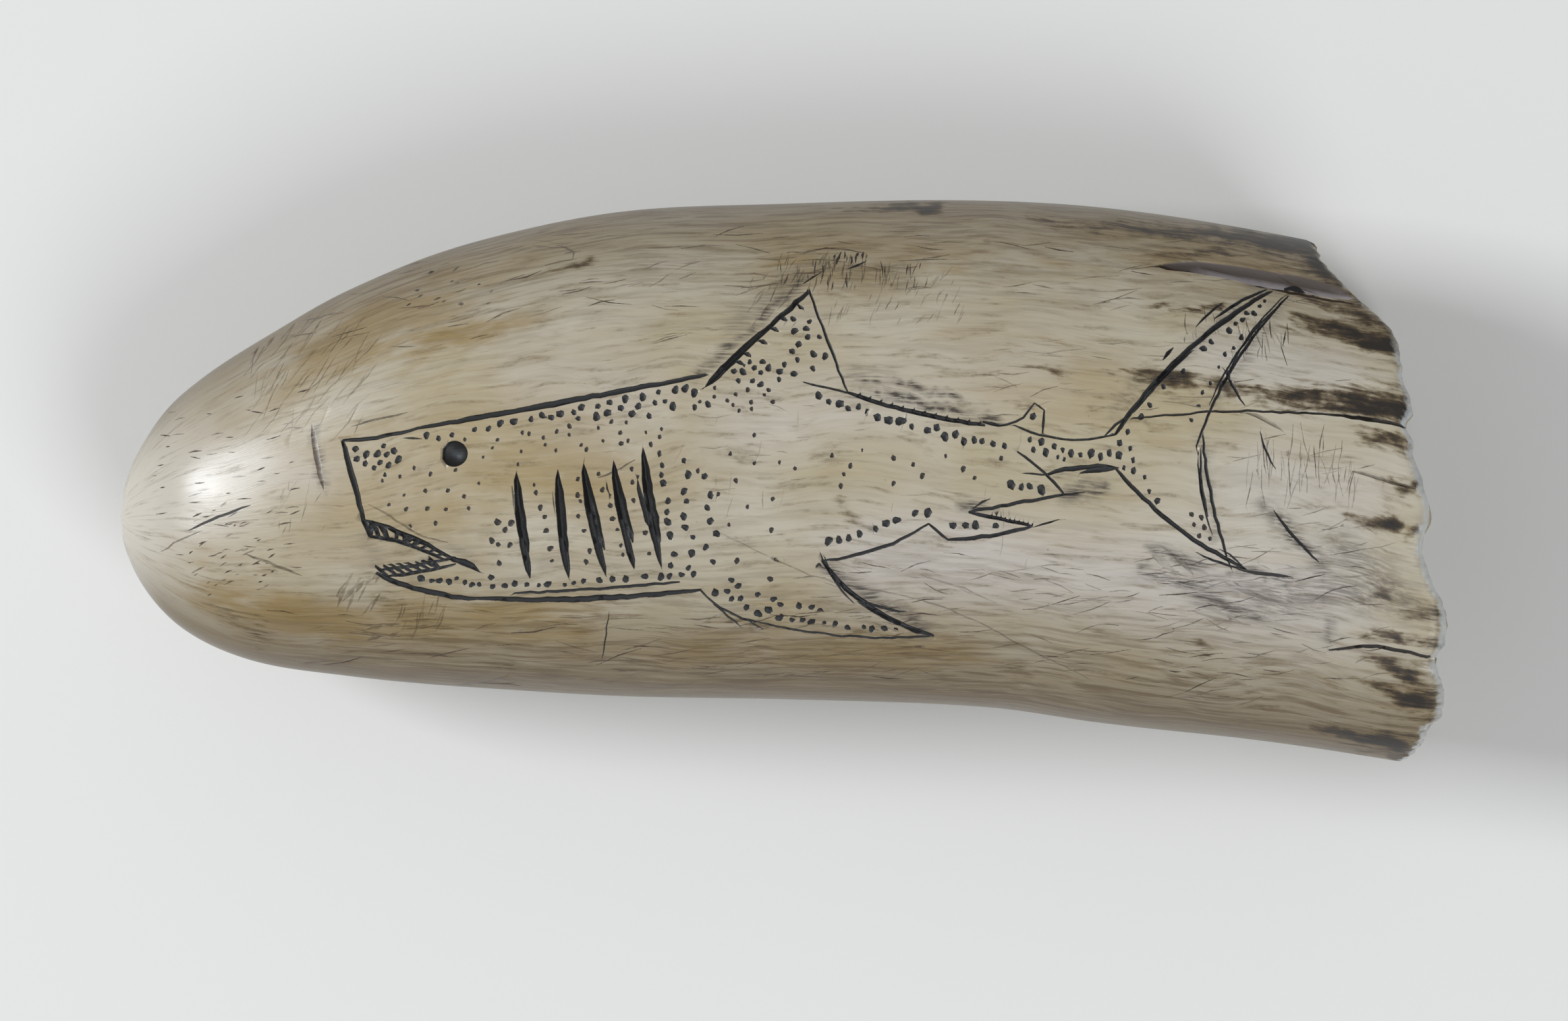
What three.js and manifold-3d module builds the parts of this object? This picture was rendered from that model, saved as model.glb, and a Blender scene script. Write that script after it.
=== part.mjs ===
// A sperm whale's tooth, polished and engraved with a shark, lying on its side.
//
// The tooth is one solid of tooth ivory. Its tip points to -X, its broken root to +X, and the engraved face
// looks up, along +Z. The origin is in the middle of its length and width, on the surface that it lies on.
// Sizes are in millimetres and angles in degrees. Angles run round the tooth from its upper edge (+Y, 0)
// over the engraved face (90) and the lower edge (180) to the face that it lies on (270).

import * as THREE from "three";
import { mergeVertices } from "three/addons/utils/BufferGeometryUtils.js";
import Module from "manifold-3d";

// Driving sizes.
const LENGTH = 152.7; // from the tip to the farthest point of the broken root
const ROUND_EXPONENT = 2.25; // 2 is an ellipse, more is squarer: the tooth's section lies between
const THICK_TO_WIDE = 0.72; // thickness over width along the body of the tooth
const TIP_FATTER_BY = 0.16; // what the ratio gains at the tip, where the tooth is nearly round
const TIP_FADE = 22; // the distance over which that gain falls to a third
const MIDDLE_HEIGHT = 20.4; // of the section's middle over the table, halfway along the tooth
const HEIGHT_SLOPE = 0.0196; // the middle climbs towards the thicker root by this much for each millimetre
const WALL = 3.4; // thickness of the wall round the hollow, at the broken edge
const HOLLOW_START = 100; // distance from the tip to the hollow's blind end
const HOLLOW_ROUNDING = 0.72; // 1 is a straight cone, less is a rounder blind end
const EDGE_SLANT = 1.3; // how far the break slopes back from the outer edge to the inner one

// Half the tooth's width as [distance from the tip, half width].
const HALF_WIDTHS = [
  [0, 0], [2, 7.2], [7, 13.4], [15, 18.05], [26, 22.1], [40, 25.5], [56, 27.7],
  [76, 28.5], [100, 29.1], [112, 29.6], [130, 29.3], [154, 28.6],
];

// The bend of the tooth as [distance from the tip, Y of the section's middle].
const MIDDLES = [
  [0, -4], [7, -3.35], [15, -2.45], [26, -0.2], [40, 1.9], [56, 3.1], [76, 3.5],
  [100, 3.2], [112, 2], [130, -0.3], [154, -4.6],
];

// The broken edge as [angle, distance from the tip]: a slanting break over the upper corner, then scallops.
const BROKEN_EDGE = [
  [0, 137.4], [14, 137.6], [24, 138.1], [30, 139.2], [36, 141], [42, 143], [46, 144.8], [50, 145.7],
  [55, 146.2], [60, 146.5], [66, 146.9], [70, 147.3], [73, 146.6], [76, 147.3], [81, 147.7], [84, 148.4],
  [88, 149], [94, 148.5], [99, 148.8], [104, 149.8], [109, 150.9], [118, 150.9], [123, 150.2],
  [127, 150.5], [133, 151.1], [141, 151], [146, 149.9], [152, 149.3], [164, 148.5], [176, 147.7],
  [190, 148.7], [205, 150.6], [220, 152.4], [232, 152.7], [246, 151.4], [262, 150.2], [276, 150.3],
  [292, 149], [306, 148], [322, 144], [335, 139.8], [348, 137.4], [360, 137.4],
];

// The hollow-sided groove near the break, a spindle that is blunt at its root end.
const GASH = { from: [42.4, 24.5], to: [64.6, 21.1], rise: 0.45, width: 2.1, depth: 1.2 };

// Two drying cracks that open towards the broken edge, and cut through the wall there.
const CRACKS = [
  { from: [39, 7.2], to: [73, 5.7], rise: 1.2, width: 1.5, depth: 6 },
  { from: [61.5, -19.1], to: [76.5, -20.9], rise: 1, width: 1, depth: 6 },
];
const CRACK_POWER = 3; // how late the cracks open: 1 opens evenly, more opens near the edge

// The drilled eye of the shark.
const EYE = { at: [-37.2, 3.1], radius: 1.5, depth: 0.9, sides: 20 };

// The places where the shark's outline turns, as [X, Y] on the engraved face.
const NOSE = [-50, 4.6];
const LIP = [-47.6, -4.4];
const BROW = [-41.4, 6];
const BACK = [-8.9, 12];
const JAW = [-37.7, -8.7];
const CHIN = [-46.2, -10.4];
const THROAT = [-34.8, -13.3];
const BREAST = [-9.5, -12.3];
const FIN_TIP = [2.8, 21.9];
const FIN_HEEL = [7.2, 10];
const SMALL_FIN_TIP = [28.2, 8.8];
const SMALL_FIN_END = [29.3, 8];
const STOCK_TOP = [37.2, 5.2];
const STOCK_BOTTOM = [37.3, 1.5];
const ANAL_NOTCH = [29.6, 0.7];
const ANAL_END = [31.5, -1.5];
const GROIN = [20.8, -3.5];
const PELVIC_TIP = [27.9, -5.1];
const PELVIC_HEEL = [18.5, -6.6];
const BELLY = [16.3, -4.8];
const ARMPIT = [4.3, -9];
const FLIPPER_TIP = [16.9, -17.5];
const FLIPPER_BEND = [-2.7, -16];

// The graver's cuts as [from, to, rise, width]. A cut is an arc: rise is how far its middle bows out to
// the left of the way it runs.
const OUTLINE_CUTS = [
  [NOSE, LIP, 0.1, 0.6],
  [NOSE, BROW, -0.25, 0.5],
  [BROW, BACK, -0.1, 0.55],
  [LIP, JAW, 0.4, 0.5],
  [[-46.8, -6.2], [-38.4, -8.9], 0.4, 0.4],
  [[-37.2, -8.7], [-34.4, -10.3], 0.15, 0.7],
  [[-45.9, -10.1], JAW, -0.15, 0.35],
  [[-45, -10.8], [-37.2, -9.4], -0.2, 0.35],
  [CHIN, THROAT, -0.62, 0.55],
  [THROAT, BREAST, -0.5, 0.55],
  [[-27.5, -12.9], [-11.8, -11.4], -0.1, 0.35],
  [[-8.9, 10.6], [-1.5, 17.7], 0.1, 0.85],
  [[-5.6, 13.7], [2.7, 21.4], 0, 0.6],
  [FIN_TIP, FIN_HEEL, -0.1, 0.3],
  [[2.2, 11.2], FIN_HEEL, 0, 0.3],
  [FIN_HEEL, [22.6, 6.3], -0.4, 0.45],
  [[24, 6.2], SMALL_FIN_TIP, -0.7, 0.26],
  [SMALL_FIN_TIP, SMALL_FIN_END, 0, 0.26],
  [SMALL_FIN_END, [29.1, 5.4], 0, 0.26],
  [[25.9, 6.3], STOCK_TOP, -1, 0.26],
  [[27.1, 2.5], ANAL_END, 0.4, 0.35],
  [ANAL_NOTCH, STOCK_BOTTOM, 0.5, 0.5],
  [ANAL_END, GROIN, 0, 0.35],
  [GROIN, PELVIC_TIP, 0, 0.38],
  [PELVIC_TIP, PELVIC_HEEL, 0.3, 0.4],
  [PELVIC_HEEL, BELLY, 0, 0.35],
  [BELLY, ARMPIT, 0.8, 0.33],
  [ARMPIT, FLIPPER_TIP, -1.3, 0.5],
  [FLIPPER_TIP, FLIPPER_BEND, 0.8, 0.3],
  [FLIPPER_BEND, BREAST, 0.7, 0.3],
  [[37.3, 5.3], [54.9, 21.4], 1.45, 0.6],
  [[56.9, 20.8], [46.4, 3.9], -1.2, 0.35],
  [[47.1, 4.6], [49.8, -8.4], -0.4, 0.38],
  [[37.2, 1.6], [51.9, -9.9], -1, 0.42],
];
const CUT_DEPTH_TO_WIDTH = 0.85;

// The five gill slits: broad spindle cuts, each as [from, to].
const GILL_CUTS = [
  [[-30.2, 1], [-28.7, -11]],
  [[-25.5, 1.3], [-24.3, -11]],
  [[-22.6, 2], [-20.1, -10.7]],
  [[-19.2, 2.3], [-16.9, -9.9]],
  [[-15.9, 3.8], [-13.8, -9.8]],
];
const GILL = { rise: -0.3, width: 0.95, depth: 0.6 };

// Rows of drilled dots that shade the back and the belly, each as [from, to, rise, count].
const DOT_ROWS = [
  [[-35, 6.1], [-11, 10.4], -0.1, 9],
  [[7, 8.6], [25.5, 4.4], -0.5, 9],
  [[29, 4.2], [37.4, 3.2], -0.4, 4],
  [[5.4, -7.5], [15.6, -4], 0, 5],
  [[-12.9, 1.5], [-11.7, -8], 0, 4],
];
const DOT = { radius: 0.45, depth: 0.35, sides: 6 };

// How fine the mesh is.
const ROUND_STEPS = 64;
const BODY_STEPS = 28;
const HOLLOW_STEPS = 8;
const CUT_STEP = 3.2; // the longest straight piece of a cut
const OVERRUN = [0.185, 0.33]; // how far the graver starts before a corner and runs on past the next
const SHORTEST_EDGE = 0.01; // shorter ones are closed up when a tool cuts
const CLEAR_ABOVE = 0.6; // how far a cutting tool stands above the ivory

const radians = THREE.MathUtils.degToRad;

// A smooth curve through [place, value] pairs: cubic pieces whose slope at each pair is the mean of the
// slopes on its two sides.
function curveThrough(pairs) {
  const slopes = pairs.map(([place, value], i) => {
    const sides = [pairs[i - 1], pairs[i + 1]]
      .filter(Boolean)
      .map(([otherPlace, otherValue]) => (otherValue - value) / (otherPlace - place));
    return sides.reduce((sum, slope) => sum + slope, 0) / sides.length;
  });
  return (place) => {
    const next = pairs.findIndex(([p]) => p >= place);
    const i = Math.min(Math.max(next < 0 ? pairs.length - 1 : next, 1), pairs.length - 1);
    const [[p0, v0], [p1, v1]] = [pairs[i - 1], pairs[i]];
    const span = p1 - p0;
    const t = (place - p0) / span;
    const t2 = t * t;
    const t3 = t2 * t;
    return (
      (2 * t3 - 3 * t2 + 1) * v0 + (t3 - 2 * t2 + t) * span * slopes[i - 1] +
      (3 * t2 - 2 * t3) * v1 + (t3 - t2) * span * slopes[i]
    );
  };
}

// Squares of the half widths run straight at the tip, so the tip comes out round.
const halfWidthSquared = curveThrough(HALF_WIDTHS.map(([place, half]) => [place, half * half]));
const middle = curveThrough(MIDDLES);
const brokenEdge = curveThrough(BROKEN_EDGE);

const halfWidth = (d) => Math.sqrt(Math.max(halfWidthSquared(d), 0));
const halfThickness = (d) =>
  halfWidth(d) * (THICK_TO_WIDE + TIP_FATTER_BY * Math.exp(-d / TIP_FADE));
const middleHeight = (d) => MIDDLE_HEIGHT + HEIGHT_SLOPE * (d - LENGTH / 2);

// The point at an angle of the rounded section whose half width and half thickness are given.
function sectionPoint(d, angle, across, up) {
  const power = 2 / ROUND_EXPONENT;
  const c = Math.cos(radians(angle));
  const s = Math.sin(radians(angle));
  return new THREE.Vector3(
    d - LENGTH / 2,
    middle(d) + across * Math.sign(c) * Math.abs(c) ** power,
    middleHeight(d) + up * Math.sign(s) * Math.abs(s) ** power,
  );
}

const skinPoint = (d, angle) => sectionPoint(d, angle, halfWidth(d), halfThickness(d));

// The point of the engraved face above a place [X, Y].
function faceAbove(x, y) {
  const d = x + LENGTH / 2;
  const share = Math.min(Math.abs(y - middle(d)) / halfWidth(d), 1);
  const rise = (1 - share ** ROUND_EXPONENT) ** (1 / ROUND_EXPONENT);
  return new THREE.Vector3(x, y, middleHeight(d) + halfThickness(d) * rise);
}

// The place [X, Y] at share t of an arc's way.
function arcPlace(from, to, rise, t) {
  const [dx, dy] = [to[0] - from[0], to[1] - from[1]];
  const bow = (4 * rise * t * (1 - t)) / Math.hypot(dx, dy);
  return [from[0] + dx * t - dy * bow, from[1] + dy * t + dx * bow];
}

// Joins rings of points, all of one length, into a closed skin with a pole at each end.
function closedSkin(startPole, rings, endPole) {
  const around = rings[0].length;
  const points = [startPole, ...rings.flat(), endPole];
  const last = points.length - 1;
  const at = (ring, i) => 1 + ring * around + (i % around);
  const faces = [];
  for (let i = 0; i < around; i++) {
    faces.push(0, at(0, i + 1), at(0, i));
    for (let ring = 0; ring + 1 < rings.length; ring++) {
      faces.push(at(ring, i), at(ring + 1, i + 1), at(ring + 1, i));
      faces.push(at(ring, i), at(ring, i + 1), at(ring + 1, i + 1));
    }
    faces.push(last, at(rings.length - 1, i), at(rings.length - 1, i + 1));
  }
  const geometry = new THREE.BufferGeometry().setFromPoints(points);
  geometry.setIndex(faces);
  return geometry;
}

// The rings of the outer skin, closer together at the tip, with the last one on the broken edge.
function outerRings(angles) {
  return Array.from({ length: BODY_STEPS }, (_, i) => {
    const share = (i + 1) / BODY_STEPS;
    const even = LENGTH * (0.15 * share + 0.85 * share ** 1.8);
    const fade = THREE.MathUtils.smoothstep(even, LENGTH * 0.72, LENGTH);
    return angles.map((angle) => skinPoint(even + (brokenEdge(angle) - LENGTH) * fade, angle));
  });
}

// The rings of the hollow, from the inner edge of the break down to near the blind end.
function hollowRings(angles) {
  return Array.from({ length: HOLLOW_STEPS }, (_, i) => {
    const share = (1 - i / HOLLOW_STEPS) ** 1.5;
    const opening = share ** HOLLOW_ROUNDING;
    return angles.map((angle) => {
      const d = HOLLOW_START + (brokenEdge(angle) - EDGE_SLANT - HOLLOW_START) * share;
      return sectionPoint(d, angle, (halfWidth(d) - WALL) * opening, (halfThickness(d) - WALL) * opening);
    });
  });
}

function toothBody() {
  const angles = Array.from({ length: ROUND_STEPS }, (_, i) => (360 * i) / ROUND_STEPS);
  const tip = sectionPoint(0, 0, 0, 0);
  const blindEnd = sectionPoint(HOLLOW_START, 0, 0, 0);
  return closedSkin(tip, [...outerRings(angles), ...hollowRings(angles)], blindEnd);
}

// A tool that cuts a groove along an arc of the engraved face. size(t) gives [width, depth] at share t of
// the way, and rounded makes the groove's floor round instead of sharp.
function grooveTool(from, to, rise, size, rounded = false) {
  const length = Math.hypot(to[0] - from[0], to[1] - from[1]);
  const steps = Math.max(3, Math.ceil(length / CUT_STEP));
  const [first, last] = [-OVERRUN[0] / length, 1 + OVERRUN[1] / length];
  const place = (t) => faceAbove(...arcPlace(from, to, rise, t));
  const floor = rounded ? [-0.8, -0.4, 0, 0.4, 0.8] : [0];
  const rings = Array.from({ length: steps + 1 }, (_, i) => {
    const t = first + ((last - first) * i) / steps;
    const [width, depth] = size(i / steps);
    const point = place(t);
    const along = place(t + 0.01).sub(place(t - 0.01)).normalize();
    const beside = faceAbove(point.x - along.y * 0.1, point.y + along.x * 0.1).sub(point);
    const out = along.clone().cross(beside).normalize();
    const side = out.clone().cross(along);
    const spread = (width / 2) * (1 + CLEAR_ABOVE / depth);
    const corners = [
      [-spread, CLEAR_ABOVE],
      ...floor.map((share) => [(share * width) / 2, -depth * Math.sqrt(1 - share * share)]),
      [spread, CLEAR_ABOVE],
    ];
    return corners.map(([across, up]) =>
      point.clone().addScaledVector(side, across).addScaledVector(out, up),
    );
  });
  const centre = (ring) =>
    ring.reduce((sum, p) => sum.add(p), new THREE.Vector3()).divideScalar(ring.length);
  return closedSkin(centre(rings[0]), rings, centre(rings.at(-1)));
}

// A cut is full in the middle and thin at both ends.
const spindle = (width, depth, ends) => (t) => {
  const full = ends + (1 - ends) * Math.sqrt(4 * t * (1 - t));
  return [width * full, depth * full];
};

// A drill that sinks a pit at a place on the engraved face. Its profile is [share of the radius, height].
function drillTool(at, radius, profile, sides) {
  const drill = new THREE.LatheGeometry(
    profile.map(([share, up]) => new THREE.Vector2(share * radius, up)),
    sides,
  );
  const point = faceAbove(...at);
  const along = faceAbove(at[0] + 0.1, at[1]).sub(point);
  const out = along.cross(faceAbove(at[0], at[1] + 0.1).sub(point)).normalize();
  const turn = new THREE.Quaternion().setFromUnitVectors(new THREE.Vector3(0, 1, 0), out);
  return drill.applyQuaternion(turn).translate(...point.toArray());
}

function eyeTool() {
  const { at, radius, depth, sides } = EYE;
  const bowl = [[0, -1], [0.6, -0.95], [0.9, -0.75], [1, -0.4]].map(([share, down]) => [share, down * depth]);
  return drillTool(at, radius, [...bowl, [1, CLEAR_ABOVE], [0, CLEAR_ABOVE]], sides);
}

// The drills of one row of dots, spread evenly along its arc. Each sinks a pointed pit.
function dotTools([from, to, rise, count]) {
  const { radius, depth, sides } = DOT;
  const profile = [[0, -depth], [1, 0], [1, CLEAR_ABOVE], [0, CLEAR_ABOVE]];
  return Array.from({ length: count }, (_, i) =>
    drillTool(arcPlace(from, to, rise, i / (count - 1)), radius, profile, sides),
  );
}

function gashTool() {
  const { from, to, rise, width, depth } = GASH;
  // The spindle is widest nearer its root end.
  const full = (t) => 0.12 + 0.88 * Math.sin(Math.PI * t ** 1.5) ** 0.6;
  return grooveTool(from, to, rise, (t) => [width * full(t), depth * full(t)], true);
}

const crackTool = ({ from, to, rise, width, depth }) =>
  grooveTool(from, to, rise, (t) => [
    0.25 + (width - 0.25) * t ** CRACK_POWER,
    0.3 + (depth - 0.3) * t ** CRACK_POWER,
  ]);

function pictureTools() {
  const outline = OUTLINE_CUTS.map(([from, to, rise, width]) =>
    grooveTool(from, to, rise, spindle(width, width * CUT_DEPTH_TO_WIDTH, 0.5)),
  );
  const gills = GILL_CUTS.map(([from, to]) =>
    grooveTool(from, to, GILL.rise, spindle(GILL.width, GILL.depth, 0.15)),
  );
  return [...outline, ...gills, eyeTool(), ...DOT_ROWS.flatMap(dotTools)];
}

// A slab below the table's surface: it takes the small flat that the tooth lies on.
const tableSlab = () => new THREE.BoxGeometry(2 * LENGTH, LENGTH, 20).translate(0, 0, -10);

const wasm = await Module();
wasm.setup();

function solidFrom(geometry) {
  const bare = geometry.clone();
  bare.deleteAttribute("normal");
  bare.deleteAttribute("uv");
  const merged = mergeVertices(bare, 1e-4);
  const solid = new wasm.Manifold(
    new wasm.Mesh({
      numProp: 3,
      vertProperties: merged.attributes.position.array,
      triVerts: new Uint32Array(merged.index.array),
      tolerance: SHORTEST_EDGE,
    }),
  );
  if (solid.volume() <= 0) throw new Error("a solid's faces point inwards");
  return solid;
}

function geometryFrom(solid) {
  const mesh = solid.getMesh();
  return new THREE.BufferGeometry()
    .setAttribute("position", new THREE.BufferAttribute(mesh.vertProperties, 3))
    .setIndex(new THREE.BufferAttribute(mesh.triVerts, 1));
}

const tools = [tableSlab(), gashTool(), ...CRACKS.map(crackTool), ...pictureTools()];
const carved = tools.map(solidFrom).reduce((solid, tool) => solid.subtract(tool), solidFrom(toothBody()));
const toothGeometry = geometryFrom(carved);
toothGeometry.computeBoundingBox();
const centre = toothGeometry.boundingBox.getCenter(new THREE.Vector3());
toothGeometry.translate(-centre.x, -centre.y, 0);
toothGeometry.computeVertexNormals();

const tooth = new THREE.Mesh(
  toothGeometry,
  new THREE.MeshStandardMaterial({ color: 0xcdb78f, roughness: 0.42, metalness: 0, flatShading: true }),
);
tooth.name = "tooth";

const scrimshaw = new THREE.Group();
scrimshaw.add(tooth);

export default scrimshaw;
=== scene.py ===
import bmesh
import bpy
import numpy as np
from mathutils.geometry import delaunay_2d_cdt
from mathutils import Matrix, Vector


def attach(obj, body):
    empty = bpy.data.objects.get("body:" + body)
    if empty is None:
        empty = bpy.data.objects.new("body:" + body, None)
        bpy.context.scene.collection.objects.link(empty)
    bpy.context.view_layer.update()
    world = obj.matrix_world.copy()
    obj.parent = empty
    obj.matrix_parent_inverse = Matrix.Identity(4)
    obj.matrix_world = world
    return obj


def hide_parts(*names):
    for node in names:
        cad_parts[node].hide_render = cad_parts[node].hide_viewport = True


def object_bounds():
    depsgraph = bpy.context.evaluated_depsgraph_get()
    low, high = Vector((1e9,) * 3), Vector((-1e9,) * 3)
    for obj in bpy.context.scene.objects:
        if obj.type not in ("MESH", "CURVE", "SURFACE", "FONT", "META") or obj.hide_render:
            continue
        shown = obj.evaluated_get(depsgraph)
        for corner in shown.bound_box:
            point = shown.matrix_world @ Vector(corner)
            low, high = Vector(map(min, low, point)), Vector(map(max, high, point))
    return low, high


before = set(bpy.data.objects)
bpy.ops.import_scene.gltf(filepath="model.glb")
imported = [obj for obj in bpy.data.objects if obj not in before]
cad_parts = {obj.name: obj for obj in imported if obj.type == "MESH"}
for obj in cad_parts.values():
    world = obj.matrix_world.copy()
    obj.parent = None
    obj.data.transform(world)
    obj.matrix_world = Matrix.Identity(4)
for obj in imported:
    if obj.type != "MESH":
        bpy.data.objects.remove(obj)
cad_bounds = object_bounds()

# The tooth's form. It is one piece of sperm whale ivory, a bent horn that is oval in section, scraped
# smooth and polished by hand. Its root end is broken off raggedly and shows the hollow of the root.
# Sizes are in millimetres and turns in degrees: 0 is the upper edge, 90 the engraved face, 180 the lower
# edge and 270 the side that it lies on. d is the distance from the tip.
LENGTH = 152.7
ROUND_EXPONENT = 2.25  # of the oval section: 2 is an ellipse, more is squarer
THICK_TO_WIDE = 0.72
TIP_FATTER_BY = 0.16
TIP_FADE = 22  # the length over which the tip's fatness falls off
MIDDLE_HEIGHT = 20.4
HEIGHT_SLOPE = 0.0196
WALL = 3.4
HOLLOW_START = 100
HOLLOW_ROUNDING = 0.72
EDGE_SLANT = 1.3
EDGE_INSET = 0.25  # the splinters are set back by this much, so that none passes the measured form
HALF_WIDTHS = [
    (0, 0), (2, 7.2), (7, 13.4), (15, 18.05), (26, 22.1), (40, 25.5), (56, 27.7),
    (76, 28.5), (100, 29.1), (112, 29.6), (130, 29.3), (154, 28.6),
]
MIDDLES = [
    (0, -4), (7, -3.35), (15, -2.45), (26, -0.2), (40, 1.9), (56, 3.1), (76, 3.5),
    (100, 3.2), (112, 2), (130, -0.3), (154, -4.6),
]
BROKEN_EDGE = [
    (0, 137.4), (14, 137.6), (24, 138.1), (30, 139.2), (36, 141), (42, 143), (46, 144.8), (50, 145.7),
    (55, 146.2), (60, 146.5), (66, 146.9), (70, 147.3), (73, 146.6), (76, 147.3), (81, 147.7), (84, 148.4),
    (88, 149), (94, 148.5), (99, 148.8), (104, 149.8), (109, 150.9), (118, 150.9), (123, 150.2),
    (127, 150.5), (133, 151.1), (141, 151), (146, 149.9), (152, 149.3), (164, 148.5), (176, 147.7),
    (190, 148.7), (205, 150.6), (220, 152.4), (232, 152.7), (246, 151.4), (262, 150.2), (276, 150.3),
    (292, 149), (306, 148), (322, 144), (335, 139.8), (348, 137.4), (360, 137.4),
]


def curve_through(stations):
    """A smooth curve through (place, value) stations: cubic pieces whose slope at each station is the
    mean of the straight slopes on its two sides."""
    place, value = np.array(stations, float).T
    rises = np.diff(value) / np.diff(place)
    slope = np.concatenate([rises[:1], (rises[1:] + rises[:-1]) / 2, rises[-1:]])

    def at(x):
        i = np.searchsorted(place, x).clip(1, len(place) - 1)
        span = place[i] - place[i - 1]
        t = (x - place[i - 1]) / span
        start = (2 * t**3 - 3 * t**2 + 1) * value[i - 1] + (t**3 - 2 * t**2 + t) * span * slope[i - 1]
        return start + (3 * t**2 - 2 * t**3) * value[i] + (t**3 - t**2) * span * slope[i]

    return at


half_width_squared = curve_through([(d, half**2) for d, half in HALF_WIDTHS])
middle = curve_through(MIDDLES)
broken_edge_curve = curve_through(BROKEN_EDGE)


def half_width(d):
    """The root of a smooth curve through the squares of the half widths, so the tip is round."""
    return np.sqrt(half_width_squared(d).clip(0))


def half_thickness(d):
    """The half width times a ratio that rises from the body's value towards the rounder tip."""
    return half_width(d) * (THICK_TO_WIDE + TIP_FATTER_BY * np.exp(-d / TIP_FADE))


def middle_height(d):
    """The height of the section's middle, which climbs steadily towards the thicker root."""
    return MIDDLE_HEIGHT + HEIGHT_SLOPE * (d - LENGTH / 2)


def section(d, turn, across, up):
    """Points of an oval: sine and cosine of the turn, each to the power of 2 over the exponent and with
    its sign kept, times the half sizes across and up."""
    c, s = np.cos(np.radians(turn)), np.sin(np.radians(turn))
    power = 2 / ROUND_EXPONENT
    y = middle(d) + across * np.sign(c) * np.abs(c) ** power
    z = middle_height(d) + up * np.sign(s) * np.abs(s) ** power
    return np.stack([d - LENGTH / 2 + 0 * y, y, z], -1)


def turn_above(x, y):
    """The turn of the skin's point above a place: the inverse of the section's formula for y."""
    d = x + LENGTH / 2
    share = ((y - middle(d)) / half_width(d)).clip(-0.9999, 0.9999)
    return np.degrees(np.arccos(np.sign(share) * np.abs(share) ** (ROUND_EXPONENT / 2)))


def broken_edge(turn):
    """The break's distance from the tip: the curve of its scallops plus small splinters, whose sizes are
    sines with whole numbers of waves round the tooth."""
    at = np.radians(turn)
    splinters = sum(
        size * np.sin(waves * at + waves**2)
        for waves, size in [(17, 0.1), (29, 0.09), (43, 0.07), (61, 0.06), (97, 0.05)]
    )
    return broken_edge_curve(turn % 360) + splinters - EDGE_INSET


# The engraving. A hand with a steel point scratched V grooves into the polished ivory, pricked and
# drilled dots between them, and rubbed blue-black pigment into every cut. Each cut is kept as a line of
# points [x, y], its half width at each point, and how its groove and its pigment look.
rng = np.random.default_rng(1851)

NOSE = (-50, 4.6)
LIP = (-47.6, -4.4)
BROW = (-41.4, 6)
BACK = (-8.9, 12)
JAW = (-37.7, -8.7)
CHIN = (-46.2, -10.4)
THROAT = (-34.8, -13.3)
BREAST = (-9.5, -12.3)
FIN_TIP = (2.8, 21.9)
FIN_HEEL = (7.2, 10)
SMALL_FIN_TIP = (28.2, 8.8)
SMALL_FIN_END = (29.3, 8)
STOCK_TOP = (37.2, 5.2)
STOCK_BOTTOM = (37.3, 1.5)
ANAL_NOTCH = (29.6, 0.7)
ANAL_END = (31.5, -1.5)
GROIN = (20.8, -3.5)
PELVIC_TIP = (27.9, -5.1)
PELVIC_HEEL = (18.5, -6.6)
BELLY = (16.3, -4.8)
ARMPIT = (4.3, -9)
FLIPPER_TIP = (16.9, -17.5)
FLIPPER_BEND = (-2.7, -16)
EYE = (-37.2, 3.1)
EYE_RADIUS = 1.5
EYE_DEPTH = 0.9
DOT_DEPTH = 0.7  # over the dot's radius

STEP = 0.9  # between the points of a line
V_SLOPE = 1.5  # a groove's depth over the distance to its edge
WOBBLE = 0.05  # how far the hand strays from a smooth line
INK_MARGIN = 0.04  # a cut is this much wider on each side than its pigment

cuts = []


def arc(start, end, rise, step=STEP):
    """Points of an arc: the straight way from start to end, plus four times the rise times t (1 - t)
    to the left of it."""
    start, end = np.array(start, float), np.array(end, float)
    way = end - start
    length = np.hypot(*way)
    t = np.linspace(0, 1, max(3, int(length / step) + 1))[:, None]
    left = np.array([-way[1], way[0]]) / length
    return start + way * t + left * (4 * rise * t * (1 - t))


def smooth(points):
    """A smooth line through a few points, as even steps along it: x and y are curves over the distance
    run from point to point."""
    points = np.array(points, float)
    run = np.concatenate([[0], np.cumsum(np.hypot(*np.diff(points, axis=0).T))])
    at = np.linspace(0, run[-1], max(3, int(run[-1] / STEP) + 1))
    return np.stack([curve_through(list(zip(run, axis)))(at) for axis in points.T], -1)


def cut(
    line, width, ends=0.5, ink=1.0, brown=0.0, slope=V_SLOPE, wobble=WOBBLE, uneven=0.1, widest=0.5,
    rows=(0,),
):
    """Adds a cut along a line. Its width is a spindle: full at the share called widest, and falling to
    the share called ends at both ends, as the root of a parabola."""
    line = np.array(line, float)
    t = np.linspace(0, 1, len(line))
    bent = np.where(t < widest, t / (2 * widest), 1 - (1 - t) / (2 - 2 * widest))
    full = ends + (1 - ends) * np.sqrt((4 * bent * (1 - bent)).clip(0))
    shake = np.convolve(rng.standard_normal(len(line) + 2).clip(-1.5, 1.5), [0.4, 0.5, 0.4], "valid")
    half = width / 2 * full * (1 + uneven * shake) + INK_MARGIN
    line[1:-1] += wobble * rng.standard_normal((len(line) - 2, 2)).clip(-1.5, 1.5)
    cuts.append({"line": line, "half": half, "ink": ink, "brown": brown, "slope": slope, "rows": rows})


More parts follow.
